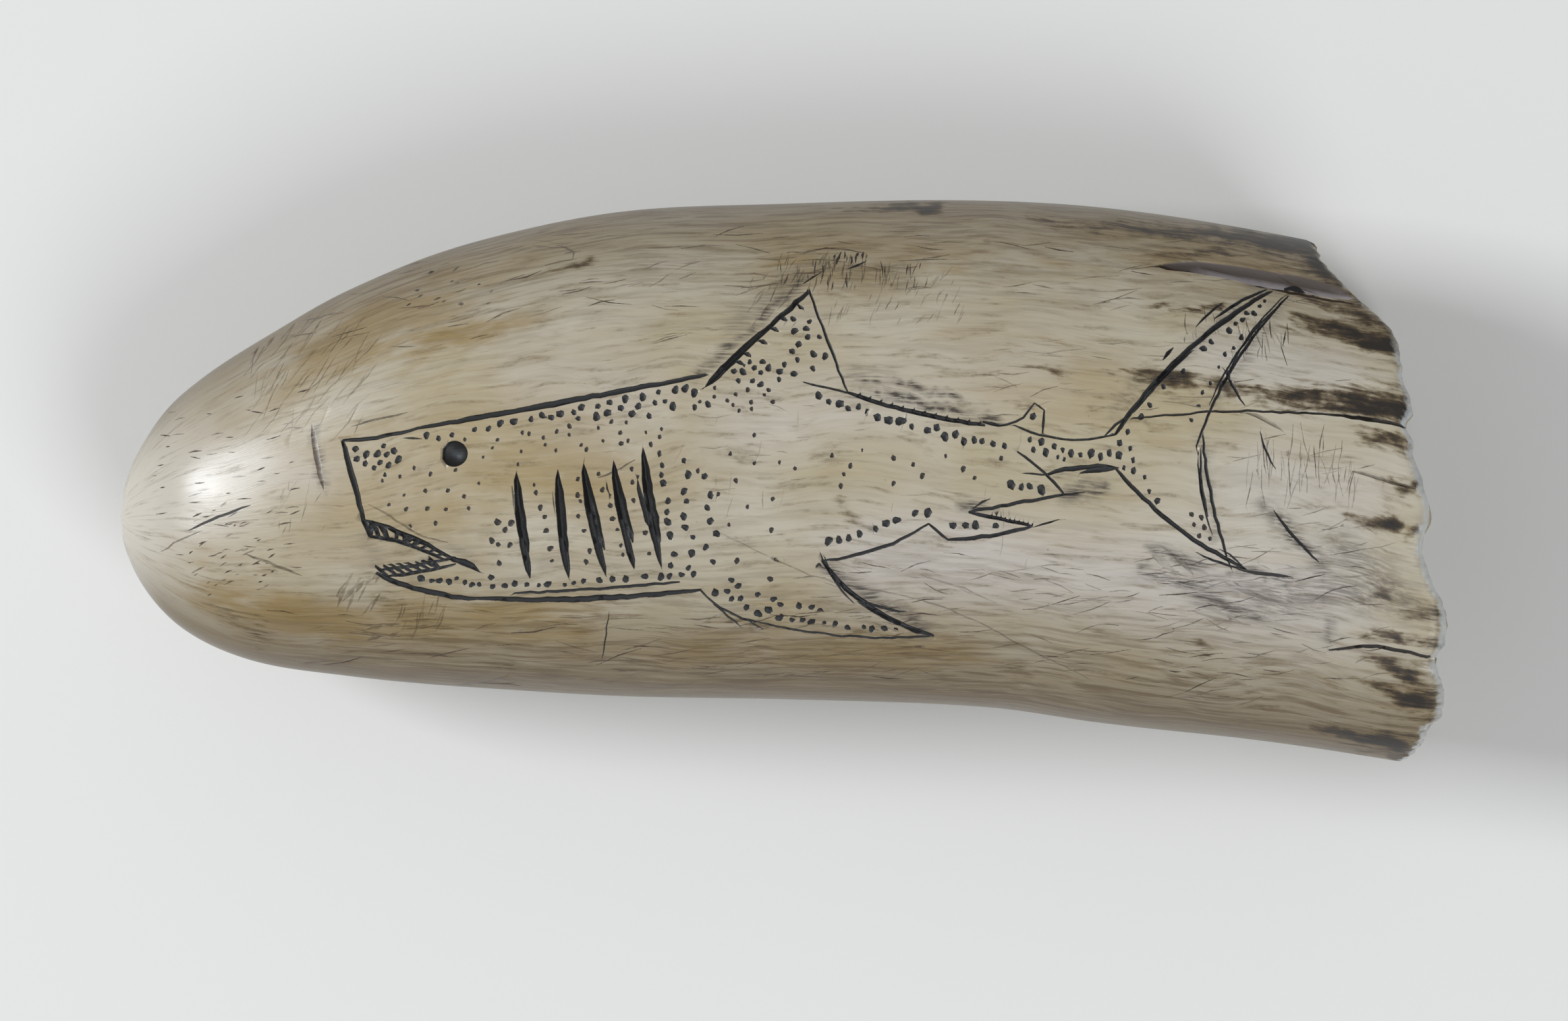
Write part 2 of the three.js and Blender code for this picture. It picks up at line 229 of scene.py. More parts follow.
# The shark's outline, as (from, to, rise, width): rise is how far the arc's middle bows to its left.
OUTLINE = [
    (NOSE, LIP, 0.1, 0.68), (NOSE, BROW, -0.25, 0.46), (BROW, BACK, -0.1, 0.62), (LIP, JAW, 0.4, 0.55),
    ((-46.8, -6.2), (-38.4, -8.9), 0.4, 0.44), ((-45.9, -10.1), JAW, -0.15, 0.39),
    ((-45, -10.8), (-37.2, -9.4), -0.2, 0.39), (CHIN, THROAT, -0.62, 0.61), (THROAT, BREAST, -0.5, 0.61),
    ((-30.5, -12.7), (-11.8, -11.4), -0.12, 0.33), (FIN_TIP, FIN_HEEL, -0.1, 0.31),
    ((2.2, 11.2), FIN_HEEL, 0, 0.24), (FIN_HEEL, (22.6, 6.3), -0.4, 0.5),
    ((22.4, 6.7), (24.4, 6.2), 0, 0.39), ((24, 6.2), SMALL_FIN_TIP, -0.7, 0.29),
    (SMALL_FIN_TIP, SMALL_FIN_END, 0, 0.24), (SMALL_FIN_END, (29.1, 5.4), 0, 0.29),
    ((25.9, 6.3), STOCK_TOP, -1, 0.26), ((26.3, 3.3), ANAL_END, 0.3, 0.33),
    (ANAL_NOTCH, STOCK_BOTTOM, 0.5, 0.55), (ANAL_END, GROIN, 0, 0.39), (GROIN, PELVIC_TIP, 0, 0.42),
    (PELVIC_TIP, PELVIC_HEEL, 0.3, 0.44), (PELVIC_HEEL, BELLY, 0, 0.33), (BELLY, ARMPIT, 0.8, 0.36),
    (ARMPIT, FLIPPER_TIP, -1.3, 0.55), (FLIPPER_TIP, FLIPPER_BEND, 0.8, 0.26),
    (FLIPPER_BEND, BREAST, 0.7, 0.26), ((37.3, 5.3), (54.9, 21.4), 1.45, 0.6),
    ((56.9, 20.8), (46.4, 3.9), -1.2, 0.31), ((47.1, 5.2), (49.8, -8.4), -0.4, 0.37),
    ((37.2, 1.6), (51.9, -9.9), -1, 0.46),
]
for start, end, rise, width in OUTLINE:
    cut(arc(start, end, rise), width)

# The dorsal fin's front edge is a broad wedge with a blunt top, and has barbs on its inner side.
cut(arc((-8.9, 10.6), (-1.5, 17.7), 0.1), 0.9, ends=0.05, widest=0.4)
cut(arc((-6.6, 12.8), (2.7, 21.4), 0.05), 0.58, ends=0.75)
for root in [(-5.4, 13.5), (-4.6, 14.5), (-2.8, 15.9), (-1.5, 17.3), (-0.5, 18.5)]:
    cut(np.array(root) + [(0, 0), (0.45, -0.12), (0.85, -0.35)], 0.5, ends=0.4, wobble=0.04)
cut([(1.5, 20.1), (1.9, 19.7), (2.2, 19.5)], 0.4, ends=0.4)

# The teeth are bars across each jaw. Those of the upper jaw nearly fill it, and those of the lower jaw
# stick out above it.
upper_gum, upper_edge = arc(LIP, JAW, 0.4), arc((-46.8, -6.2), (-38.4, -8.9), 0.4)
for share, width in [
    (0.02, 0.6), (0.11, 0.55), (0.16, 0.5), (0.27, 0.6), (0.37, 0.42), (0.46, 0.5), (0.55, 0.62),
    (0.64, 0.6), (0.74, 0.36), (0.83, 0.3), (0.92, 0.3),
]:
    top = upper_gum[int(share * (len(upper_gum) - 1))]
    foot = upper_edge[int(share * (len(upper_edge) - 1))]
    cut([top, (top + foot) / 2 + 0.08, foot], width, ends=0.8, wobble=0.03)
lower_gum, lower_edge = arc((-45, -10.8), (-37.2, -9.4), -0.2), arc((-45.9, -10.1), JAW, -0.15)
for share in np.linspace(0.1, 0.86, 8):
    top = lower_edge[int(share * (len(lower_edge) - 1))] + (-0.35, 0.5 - 0.3 * share)
    foot = lower_gum[int(share * (len(lower_gum) - 1))] + (0.2, 0)
    cut([top, (top + foot) / 2, foot], 0.4, ends=0.6, wobble=0.03)
cut(arc(JAW, (-36.9, -9), 0), 0.75, ends=0.7)
cut(arc((-37.2, -8.7), (-34.4, -10.3), 0.15), 0.72, ends=0.12, widest=0.3)

# The gill slits are broad spindles, each with a thin slip of the tool beside it.
GILLS = [
    ((-30.2, 1), (-28.7, -11)), ((-25.5, 1.3), (-24.3, -11)), ((-22.6, 2), (-20.1, -10.7)),
    ((-19.2, 2.3), (-16.9, -9.9)), ((-15.9, 3.8), (-13.8, -9.8)),
]
for top, foot in GILLS:
    cut(arc(top, foot, -0.25), 1.0, ends=0.05, wobble=0.03)
    cut(arc((top[0] + 0.1, top[1] - 0.6), (foot[0] - 0.15, foot[1] + 3), -0.1), 0.8, ends=0.2, wobble=0.06)
cut(arc((-16.5, 0.2), (-15.1, -5.3), -0.15), 0.55, ends=0.1, ink=0.85)
cut(arc((-20, -0.2), (-19.7, -1.4), 0), 0.2)
cut(arc((-26.1, -1.3), (-25.8, -3.7), 0), 0.14, ink=0.6)
cut(arc((-30.7, -0.6), (-30.5, -2.8), 0), 0.2, ink=0.6)

# Second strokes, run-outs and corrections beside the outline.
SECOND_STROKES = [
    ((-43, 4.9), (-40.9, 4.8), 0, 0.26), ((2.2, 22.4), (4.2, 23.7), 0, 0.2),
    ((4.1, -8.1), (7.9, -13.8), -0.4, 0.22), ((8.3, -13.6), (16.4, -17.2), -0.4, 0.42),
    ((6.9, -12.4), (13.8, -14.8), -0.5, 0.3), ((4.6, -8.6), (5.3, -10.7), 0, 0.3),
    ((-7.9, -14), (-4.9, -16.5), 0, 0.22), ((-4.3, -15.6), (-2.3, -16.8), 0, 0.2),
    ((28.1, -5.2), (31, -4.3), 0, 0.2), ((31.4, -1.6), (34, -1.2), 0, 0.22),
    ((21.4, -3), (23.2, -2), 0.1, 0.3), ((26.8, 0.9), (29.9, 0.7), 0, 0.2),
    ((39.6, 8), (46, 14.7), 0.35, 0.4), ((46.5, 17.5), (49.6, 20.2), 0.1, 0.26),
    ((42.7, 13.7), (43.9, 15.1), 0, 0.4), ((48.6, 18.4), (54.6, 21.7), 0.25, 0.36),
    ((35.9, 4.9), (39, 7.4), 0.2, 0.3), ((56.2, 20.1), (47.9, 8.7), -0.8, 0.22),
    ((57, 21.2), (49.4, 10.7), -0.9, 0.18), ((46.9, 3.7), (47.7, -4), -0.3, 0.3),
    ((46.6, 2.8), (48.2, -6), -0.4, 0.22), ((49.1, -7.7), (51.9, -9.9), 0.2, 0.24),
    ((49.6, -8), (50.4, -9.9), 0, 0.24), ((46.4, -8), (51.4, -9.8), -0.2, 0.26),
    ((33.3, 0.9), (37.6, 1.5), 0.1, 0.5), ((49.6, 12.6), (51.9, 8.5), -0.1, 0.28),
    ((49.9, 12.8), (50.2, 11.2), 0, 0.4), ((53.6, 5.6), (55.3, 1.4), -0.2, 0.26),
    ((55.1, -3.3), (60.2, -9.1), -0.3, 0.3), ((7.2, 24.1), (9.3, 25), 0, 0.26),
    ((11.2, -15), (12.1, -16), 0, 0.3),
]
for start, end, rise, width in SECOND_STROKES:
    cut(arc(start, end, rise), width, ends=0.25, wobble=0.04)
back_notches = arc(FIN_HEEL, (22.6, 6.3), -0.4, 0.62)
for spot in back_notches[2::2]:
    cut([spot, spot + (0.1, 0.18), spot + (0.22, 0.34)], 0.26, wobble=0.02)
for spot in arc(GROIN, PELVIC_TIP, 0, 0.5)[5:]:
    cut([spot, spot + (0.05, 0.16), spot + (0.1, 0.3)], 0.2, wobble=0.02)

# The dots. Each one is [x, y, radius, ink, brown]; rows of them follow the outline, and others scatter.
DOT_GAP = 0.09  # the least gap between two dots, or a dot and a cut
dots = []
drawn = []  # [x, y, radius] of all that is drawn so far, with each cut as a string of close discs
for one in cuts:
    count = len(one["half"])
    close = np.linspace(0, count - 1, 8 * count)
    discs = [np.interp(close, np.arange(count), row) for row in (*one["line"].T, one["half"])]
    drawn.append(np.stack(discs, -1))
drawn = np.concatenate(drawn)


def add_dots(spots, radii, ink, brown):
    """Adds each dot at the first of a few chance places, ever farther off, where it clears all others."""
    global drawn
    for spot, radius in zip(spots, radii):
        radius += INK_MARGIN
        for move in rng.uniform(-1, 1, (12, 2)) * np.linspace(0, 0.8, 12)[:, None]:
            x, y = spot + move
            if (np.hypot(x - drawn[:, 0], y - drawn[:, 1]) - drawn[:, 2]).min() > radius + DOT_GAP:
                dots.append((x, y, radius, ink, brown))
                drawn = np.append(drawn, [(x, y, radius)], 0)
                break


def dot_row(start, end, rise, count, spread, size, ink=1.0, brown=0.0):
    """Dots at even steps along an arc, each moved by a random share of the spread and of the step."""
    line = arc(start, end, rise)
    at = np.linspace(0, len(line) - 1, count) + rng.uniform(-0.3, 0.3, count) * len(line) / count
    at = at.clip(0, len(line) - 1)
    spots = np.stack([np.interp(at, np.arange(len(line)), axis) for axis in line.T], -1)
    spots += rng.uniform(-1, 1, (count, 2)) * spread
    add_dots(spots, size * rng.uniform(0.75, 1.25, count), ink, brown)


def dot_patch(centre, across, along, count, size, ink=0.85, brown=0.3):
    """Dots spread over an ellipse by the golden angle, which keeps them apart, with a little chance."""
    n = np.arange(count)
    reach = np.sqrt((n + 0.6) / count)
    angle = n * 2.39996 + rng.uniform(0, 6)
    spots = np.stack([across * reach * np.cos(angle), along * reach * np.sin(angle)], -1) + centre
    spots += rng.uniform(-0.35, 0.35, spots.shape)
    add_dots(spots, size * rng.uniform(0.8, 1.2, count), ink, brown)


dot_row((-40.5, 4.8), (-11, 10.6), -0.1, 19, (0.3, 0.25), 0.4)
dot_row((-27, 7.2), (-10, 9.8), -0.1, 11, (0.5, 0.3), 0.4)
dot_row((-19.5, 7.1), (-8.5, 8.8), 0, 6, (0.6, 0.4), 0.4)
dot_patch((-46.2, 2.8), 2.9, 2.2, 19, 0.38, ink=1, brown=0)
dot_patch((-40, -1.6), 6, 4, 17, 0.24, brown=0.5)
dot_patch((-31.5, 3.9), 6.5, 2.2, 10, 0.24, brown=0.5)
dot_patch((-20.5, 5.2), 9, 1.8, 18, 0.25, brown=0.4)
dot_patch((-31.9, -6.6), 1.2, 3.2, 7, 0.36, ink=0.95, brown=0.3)
for top, foot in GILLS[:-1]:
    start, end = (top[0] + 2, top[1] - 1), (foot[0] + 2.3, foot[1] + 2)
    dot_row(start, end, 0, 7, (0.4, 0.3), 0.28, ink=0.9, brown=0.3)
dot_row((-13.8, 3.4), (-12.5, -9.5), 0, 11, (0.3, 0.3), 0.4)
dot_row((-11.2, 2.2), (-10.6, -9.5), 0, 9, (0.5, 0.4), 0.4)
dot_row((-8.6, 0.5), (-8.2, -8.8), 0, 7, (0.7, 0.4), 0.38)
dot_row((-40, -11.1), (-10.3, -10.2), -1, 23, (0.35, 0.3), 0.35)
dot_row((-41.5, -11), (-33, -11.2), -0.4, 8, (0.3, 0.15), 0.42, ink=0.9)
dot_patch((-2.6, 12.4), 4, 1.4, 17, 0.36, ink=1, brown=0)
dot_patch((2.4, 15.6), 2.2, 3.4, 12, 0.35, ink=0.95, brown=0.1)
dot_patch((-5, 9.4), 5, 1.6, 14, 0.26, brown=0.4)
dot_row((3.8, 9.5), (24.8, 4.2), -0.5, 20, (0.15, 0.2), 0.46)
dot_row((9.8, 7.5), (18, 5.6), 0, 8, (0.3, 0.25), 0.45)
dot_patch((12, 1.5), 13, 2.4, 14, 0.3, brown=0.4)
dot_patch((-4.5, -0.5), 5.5, 6, 11, 0.26, brown=0.4)
dot_row((25.6, 6.4), (28.2, 7.5), 0.2, 4, (0.2, 0.2), 0.38)
dot_row((27.6, 4.5), (37.4, 3), -0.5, 15, (0.2, 0.25), 0.43)
dot_row((29, 2.9), (36.5, 2.4), -0.2, 7, (0.3, 0.2), 0.34)
dot_patch((38.4, 3.3), 1.7, 2.4, 10, 0.38, ink=1, brown=0)
dot_row((25.4, -0.6), (29.6, -0.7), 0, 5, (0.2, 0.2), 0.46)
dot_row((4.9, -7), (16, -3.5), 0, 11, (0.3, 0.25), 0.46)
dot_row((19, -5), (25, -5.1), 0.2, 6, (0.2, 0.2), 0.4)
dot_row((-8, -12.2), (3, -15.7), -0.9, 12, (0.3, 0.3), 0.42)
dot_row((-6, -11.3), (4.5, -14.6), -0.8, 8, (0.6, 0.4), 0.36)
dot_row((2, -15.9), (12.5, -16.5), -0.2, 9, (0.3, 0.2), 0.33)
dot_patch((0, -9.6), 6, 2, 4, 0.36, ink=0.95)
dot_row((40.3, 7.4), (51, 18), 0.9, 9, (0.25, 0.2), 0.36)
dot_row((50.2, 18.6), (54.6, 20), 0, 11, (0.3, 0.6), 0.3, ink=0.9)
dot_row((53.2, 17.6), (46, 6.8), -1, 9, (0.2, 0.3), 0.27, ink=0.9)
dot_row((40.3, 0.4), (49.2, -8.6), -1, 8, (0.25, 0.2), 0.36)
dot_patch((46.8, -5.6), 1.5, 2, 7, 0.28, ink=0.95)

# Marks of use. The point slipped and was tried out all over the tooth, and fine cracks and scratches
# opened along the grain. They hold brown dirt or thin grey pigment. A scratch is its points, its width, how
# strongly it is inked and how brown that is.
SCRATCHES = [
    ([(-67.8, -5.6), (-64.2, -4), (-60.5, -2.7)], 0.34, 0.85, 0.3),
    ([(-71.1, -8), (-68.6, -6.6), (-66, -5.6)], 0.2, 0.6, 0.7),
    ([(-61.2, -8.2), (-58, -9.4), (-54.7, -10.7)], 0.3, 0.6, 0.8),
    ([(-53.5, 6.3), (-52.9, 2.6), (-52.1, -0.9)], 0.6, 0.72, 1),
    ([(-7.6, -5.7), (4.2, -11), (15.6, -13.5), (21.6, -15.8), (27.7, -19), (35, -22.6)], 0.16, 0.4, 0.7),
    ([(15.6, -10.7), (20, -12), (24, -13.8)], 0.2, 0.35, 0.7),
    ([(-19.8, -14.7), (-20.2, -17.4), (-20.7, -20.2)], 0.16, 0.8, 0.2),
    ([(-47, -2.6), (-44, -4.3), (-41, -6.2), (-38, -6.9)], 0.24, 0.5, 0.8),
    ([(-21, 0.4), (-18.9, 1.2), (-16.8, 2.4)], 0.24, 0.7, 0.5),
    ([(-49, 6.2), (-46, 7), (-42.5, 7.8)], 0.22, 0.7, 0.6),
    ([(-37.9, 4.6), (-38.6, 3.1), (-38.2, 1.4)], 0.5, 0.25, 0.9),
    ([(-25.6, 26.9), (-23.9, 26.1), (-24, 25.2)], 0.2, 0.6, 0.6),
    ([(51, -9.9), (54, -10.4), (57.2, -10.8)], 0.35, 0.85, 0.2),
    ([(50.6, -9.7), (53.6, -10.5), (55.8, -10.5)], 0.3, 0.7, 0.2),
    ([(73, -0.3), (75, -2.2)], 0.18, 0.6, 0.7),
]
for points, width, ink, brown in SCRATCHES:
    cut(smooth(points), width, ends=0.2, ink=ink, brown=brown, slope=0.15)


def dashes(count, centre, reach, length, angle, width, ink, brown):
    """Short hairlines of one direction, spread at random over a rectangle about a centre. They only colour
    the ivory, as they are too shallow to feel."""
    spots = np.array(centre) + rng.uniform(-1, 1, (count, 2)) * reach
    lengths = length * rng.uniform(0.4, 1.3, count)
    angles = np.radians(angle + 9 * rng.standard_normal(count))
    widths = width * rng.uniform(0.6, 1.3, count)
    inks = ink * rng.uniform(0.5, 1.2, count)
    for spot, long, turn, wide, dark in zip(spots, lengths, angles, widths, inks):
        way = np.array([np.cos(turn), np.sin(turn)]) * long / 2
        line = arc(spot - way, spot + way, 0.06 * long * rng.uniform(-1, 1), 2)
        cut(line, wide, ends=0.2, ink=min(dark, 1), brown=brown, slope=0, wobble=0.02)


dashes(64, (7.5, 23.6), (8, 1.6), 1.7, 80, 0.15, 0.8, 0.5)
dashes(16, (6.5, 25.4), (3, 0.5), 1.2, 78, 0.26, 0.95, 0.3)
dashes(44, (13, 20.8), (8, 2.8), 1.7, 64, 0.12, 0.5, 0.8)
dashes(22, (-1.5, 20.5), (3, 2.8), 1.6, 60, 0.2, 0.5, 0.85)
dashes(44, (58, 1.6), (6.5, 3), 3.8, 86, 0.11, 0.6, 0.7)
dashes(26, (53.5, 16), (3.4, 2), 2.2, 96, 0.13, 0.75, 0.5)
dashes(10, (47, 17.5), (2, 1.6), 1.6, 100, 0.13, 0.6, 0.6)
dashes(26, (58, 4), (8, 12), 3.4, 8, 0.12, 0.6, 0.7)
dashes(44, (56, -16), (12, 9), 3.4, 7, 0.13, 0.75, 0.7)
dashes(24, (55, -17), (11, 8), 3, -11, 0.12, 0.55, 0.8)
dashes(60, (-63, 0), (9, 11), 1.4, 8, 0.15, 0.95, 0.95)
dashes(44, (-63, -7), (5, 6), 0.9, 25, 0.17, 0.95, 0.95)
dashes(60, (-54, 12), (7, 6), 4.6, 56, 0.13, 0.5, 1)
dashes(14, (-56, -3), (4, 3), 2, 70, 0.12, 0.4, 0.9)
dashes(50, (-34, 20), (24, 5), 3.4, 12, 0.13, 0.65, 1)
dashes(14, (-38, 22.3), (5, 2.2), 0.7, 22, 0.24, 0.9, 0.4)
dashes(90, (-22, -19), (36, 4.5), 4.5, 3, 0.14, 0.72, 1)
dashes(16, (-48.3, -12.4), (2.4, 2), 2.1, 58, 0.36, 0.55, 0.95)
dashes(9, (-46.6, -17), (2.6, 0.8), 1.6, 14, 0.4, 0.6, 0.9)
dashes(12, (-41.5, -14.5), (3, 2.5), 2.6, 66, 0.2, 0.45, 0.95)
dashes(80, (18, 24), (45, 4.5), 4.4, 2, 0.14, 0.7, 1)
dashes(80, (28, -16), (28, 7), 3.6, 8, 0.13, 0.75, 0.85)
dashes(56, (30, -15), (27, 7), 3.4, -9, 0.12, 0.7, 0.85)
dashes(30, (5, 3), (30, 9), 3, 2, 0.12, 0.4, 0.95)
dashes(22, (8, -1), (22, 9), 2.2, 82, 0.12, 0.32, 0.95)
dashes(34, (34, 12), (13, 5), 4, 3, 0.13, 0.5, 0.85)
dashes(4, (43, -9), (1.6, 0.8), 4, -28, 0.7, 0.4, 0.6)
dashes(9, (51, -13.5), (4.5, 2), 6, -17, 0.45, 0.38, 0.7)

# The gouge near the break and the drying cracks. The gouge is a trough with a round floor, and the cracks
# open towards the break.
GOUGE = [
    (42.4, 24.35), (46.3, 24.35), (49.9, 23.85), (52.5, 23.4), (55.3, 22.9), (58.1, 22.45), (60.9, 21.85),
    (62.8, 21.4), (64.8, 20.9),
]
GOUGE_ROWS = (-0.85, -0.5, 0, 0.5, 0.85)
cut(smooth(GOUGE), 1.95, ends=0.08, ink=0, slope=1.2, wobble=0, uneven=0.03, widest=0.66, rows=GOUGE_ROWS)
cut(arc((42, 24.4), (47, 24.1), 0.1), 0.35, ends=0.2, ink=0.7, brown=0.8)
cut(arc((52, 22.5), (64.6, 20.1), -0.1), 0.3, ends=0.2, ink=0.85, brown=0.6)
cut(arc((57, 22.5), (59, 22.1), 0.1, 0.6), 0.95, ends=0.5, slope=0)
CRACKS = [
    ([(39.2, 7.1), (43.8, 7.5), (49.8, 7.9), (55.8, 7.8), (61.8, 7.5), (66, 7)], 0.26, 1.0),
    ([(62, 7.5), (65, 7.1), (68, 6.6), (70.2, 6.1)], 0.45, 0.9),
    ([(52, 7.7), (54.2, 6.9), (56, 5.8)], 0.4, 0.4),
    ([(61.5, -19.1), (66.5, -18.6), (70.7, -19.4), (74.3, -20.2)], 0.4, 0.95),
    ([(64, 1.1), (67, 0.3), (69.5, -0.5), (72.8, -0.9)], 0.3, 0.5),
]
for points, width, ink in CRACKS:
    cut(smooth(points), width, ends=0.4, ink=ink, brown=0.2, slope=2)

# The skin's mesh. Its points are placed on an unrolled sheet, run along the tooth against turn round it,
# and joined there by triangles that keep every cut's edges and floor as edges of the mesh.
FRONT_STEP = 0.66  # between the mesh's points on the engraved side
BACK_STEP = 1.5  # on the side that it lies on
MM_PER_DEGREE = 0.45  # of the unrolled sheet
FIRST_RING = 0.35  # where the skin starts; a fan closes the tip
EDGE_COUNT = 400  # points round the broken edge
EDGE_MARGIN = 0.35  # cuts end this far from the broken edge, which keeps its own points
CELL = 0.3  # loose points keep about this far from the cuts' points and the broken edge
TIP_SIDES = 48
DOT_SIDES = 10
EYE_SIDES = 32

fine_d = FIRST_RING + (LENGTH + 1 - FIRST_RING) * np.linspace(0, 1, 3000) ** 2
profile_run = np.concatenate([[0], np.cumsum(np.hypot(np.diff(fine_d), np.diff(half_width(fine_d))))])


def run_at(d):
    """The distance run along the skin's upper profile up to d."""
    return np.interp(d, fine_d, profile_run)


def d_at(run):
    """The inverse of run_at."""
    return np.interp(run, profile_run, fine_d)


def on_sheet(x, y):
    """A place on the engraved side as a point of the unrolled sheet."""
    return np.stack([run_at(x + LENGTH / 2), turn_above(x, y) * MM_PER_DEGREE], -1)


def on_engraved_side(sheet):
    """Which points of the sheet lie on the engraved side, and not close to its ends."""
    d, turn = d_at(sheet[:, 0]), sheet[:, 1] / MM_PER_DEGREE
    return (d > 1.2) & (d < broken_edge(turn) - EDGE_MARGIN) & (turn > 1.5) & (turn < 178.5)


sheet_points = []
sheet_edges = []


def add_line(points, closed=False, border=False):
    """Adds points to the sheet with edges from each to the next. Those that aren't on the engraved side are
    left out, unless the line is a border of the sheet."""
    keep = on_engraved_side(points) | border
    first = sum(len(group) for group in sheet_points)
    number = first + np.cumsum(keep) - 1
    sheet_points.append(points[keep])
    following = np.roll(np.arange(len(points)), -1) if closed else np.arange(1, len(points))
    here = np.arange(len(following))
    joined = keep[here] & keep[following]
    sheet_edges.append(np.stack([number[here][joined], number[following][joined]], -1))


for one in cuts:
    line, half = one["line"], one["half"]
    along = np.gradient(line, axis=0)
    along /= np.hypot(*along.T)[:, None]
    left = np.stack([-along[:, 1], along[:, 0]], -1)
    for row in (-1, *one["rows"], 1):
        add_line(on_sheet(*(line + left * (row * half)[:, None]).T))

# The eye is drilled like the dots, and is rounder than they are.
dots = np.array([*dots, (*EYE, EYE_RADIUS, 1, 0)])
dot_phases = rng.uniform(0, 2 * np.pi, (len(dots), 2))
dot_roughness = np.where(dots[:, 2] < 1, 1, 0.1)


def dot_reach(which, angle):
    """A dot's radius at an angle: its mean radius times one plus two small waves of chance phase."""
    two, three = dot_phases[which]
    uneven = 0.18 * np.cos(2 * angle + two) + 0.12 * np.cos(3 * angle + three)
    return dots[which, 2] * (1 + dot_roughness[which] * uneven)


for which, (*centre, radius, _, _) in enumerate(dots):
    sides = DOT_SIDES if radius < 1 else EYE_SIDES
    angle = np.arange(sides) * 2 * np.pi / sides
    spokes = np.stack([np.cos(angle), np.sin(angle)], -1) * dot_reach(which, angle)[:, None]
    for share in [1] if radius < 1 else [1, 0.85]:
        add_line(on_sheet(*(np.array(centre) + share * spokes).T), closed=True)
    add_line(on_sheet(*np.array(centre)[:, None]))

edge_turns = np.linspace(-90, 270, EDGE_COUNT + 1)
edge_line = np.stack([run_at(broken_edge(edge_turns)), edge_turns * MM_PER_DEGREE], -1)
seam_end = edge_line[0, 0]
ring_runs = np.linspace(0, seam_end, int(seam_end / FRONT_STEP) + 1)
tip_turns = np.linspace(-90, 270, TIP_SIDES + 1)
seam = np.stack([ring_runs, np.full_like(ring_runs, -90 * MM_PER_DEGREE)], -1)
tip_line = np.stack([0 * tip_turns, tip_turns * MM_PER_DEGREE], -1)
for stretch in (seam, seam + (0, 360 * MM_PER_DEGREE), tip_line, edge_line):
    add_line(stretch, border=True)


def grid_ring(number, run):
    """A ring of loose points: closer on the engraved side, and every other ring set off by half a step."""
    d = d_at(run)
    girth = 2 * np.pi * np.sqrt((half_width(d) ** 2 + half_thickness(d) ** 2) / 2)
    front = max(8, int(0.56 * girth / FRONT_STEP))
    back = max(6, int(0.44 * girth / BACK_STEP))
    stagger = 0.5 * (number % 2)
    turns = np.concatenate([
        -10 + 200 * (np.arange(front) + stagger) / front,
        190 + 80 * (np.arange(back // 2) + stagger) / (back // 2),
        -90 + 80 * (np.arange(back // 2) + stagger) / (back // 2),
    ])
    return np.stack([np.full(len(turns), run), turns * MM_PER_DEGREE], -1)


loose = np.concatenate([grid_ring(n, run) for n, run in enumerate(ring_runs[1:] - FRONT_STEP / 2)])
loose_turns = loose[:, 1] / MM_PER_DEGREE
clear_of_edge = d_at(loose[:, 0]) < broken_edge(loose_turns) - CELL
loose = loose[clear_of_edge & (loose_turns > -89) & (loose_turns < 269)]
fixed = np.concatenate(sheet_points)
low = fixed.min(0) - 2 * CELL
taken = np.zeros(np.ceil((fixed.max(0) - low) / CELL).astype(int) + 4, bool)
taken[tuple(((fixed - low) / CELL).astype(int).T)] = True
near = taken.copy()
for shift in [(1, 0), (-1, 0), (0, 1), (0, -1)]:
    near |= np.roll(taken, shift, (0, 1))
loose = loose[~near[tuple(((loose - low) / CELL).astype(int).T)]]

all_points = np.concatenate([fixed, loose])
cdt_points, _, cdt_faces, *_ = delaunay_2d_cdt(
    [tuple(p) for p in all_points.tolist()],
    [tuple(e) for e in np.concatenate(sheet_edges).tolist()],
    [], 1, 1e-5, False,
)
sheet = np.array([tuple(p) for p in cdt_points])
sheet_faces = np.array([tuple(face) for face in cdt_faces])
face_middles = sheet[sheet_faces].mean(1)
edge_there = np.interp(face_middles[:, 1], edge_line[:, 1], edge_line[:, 0])
sheet_faces = sheet_faces[face_middles[:, 0] < edge_there]

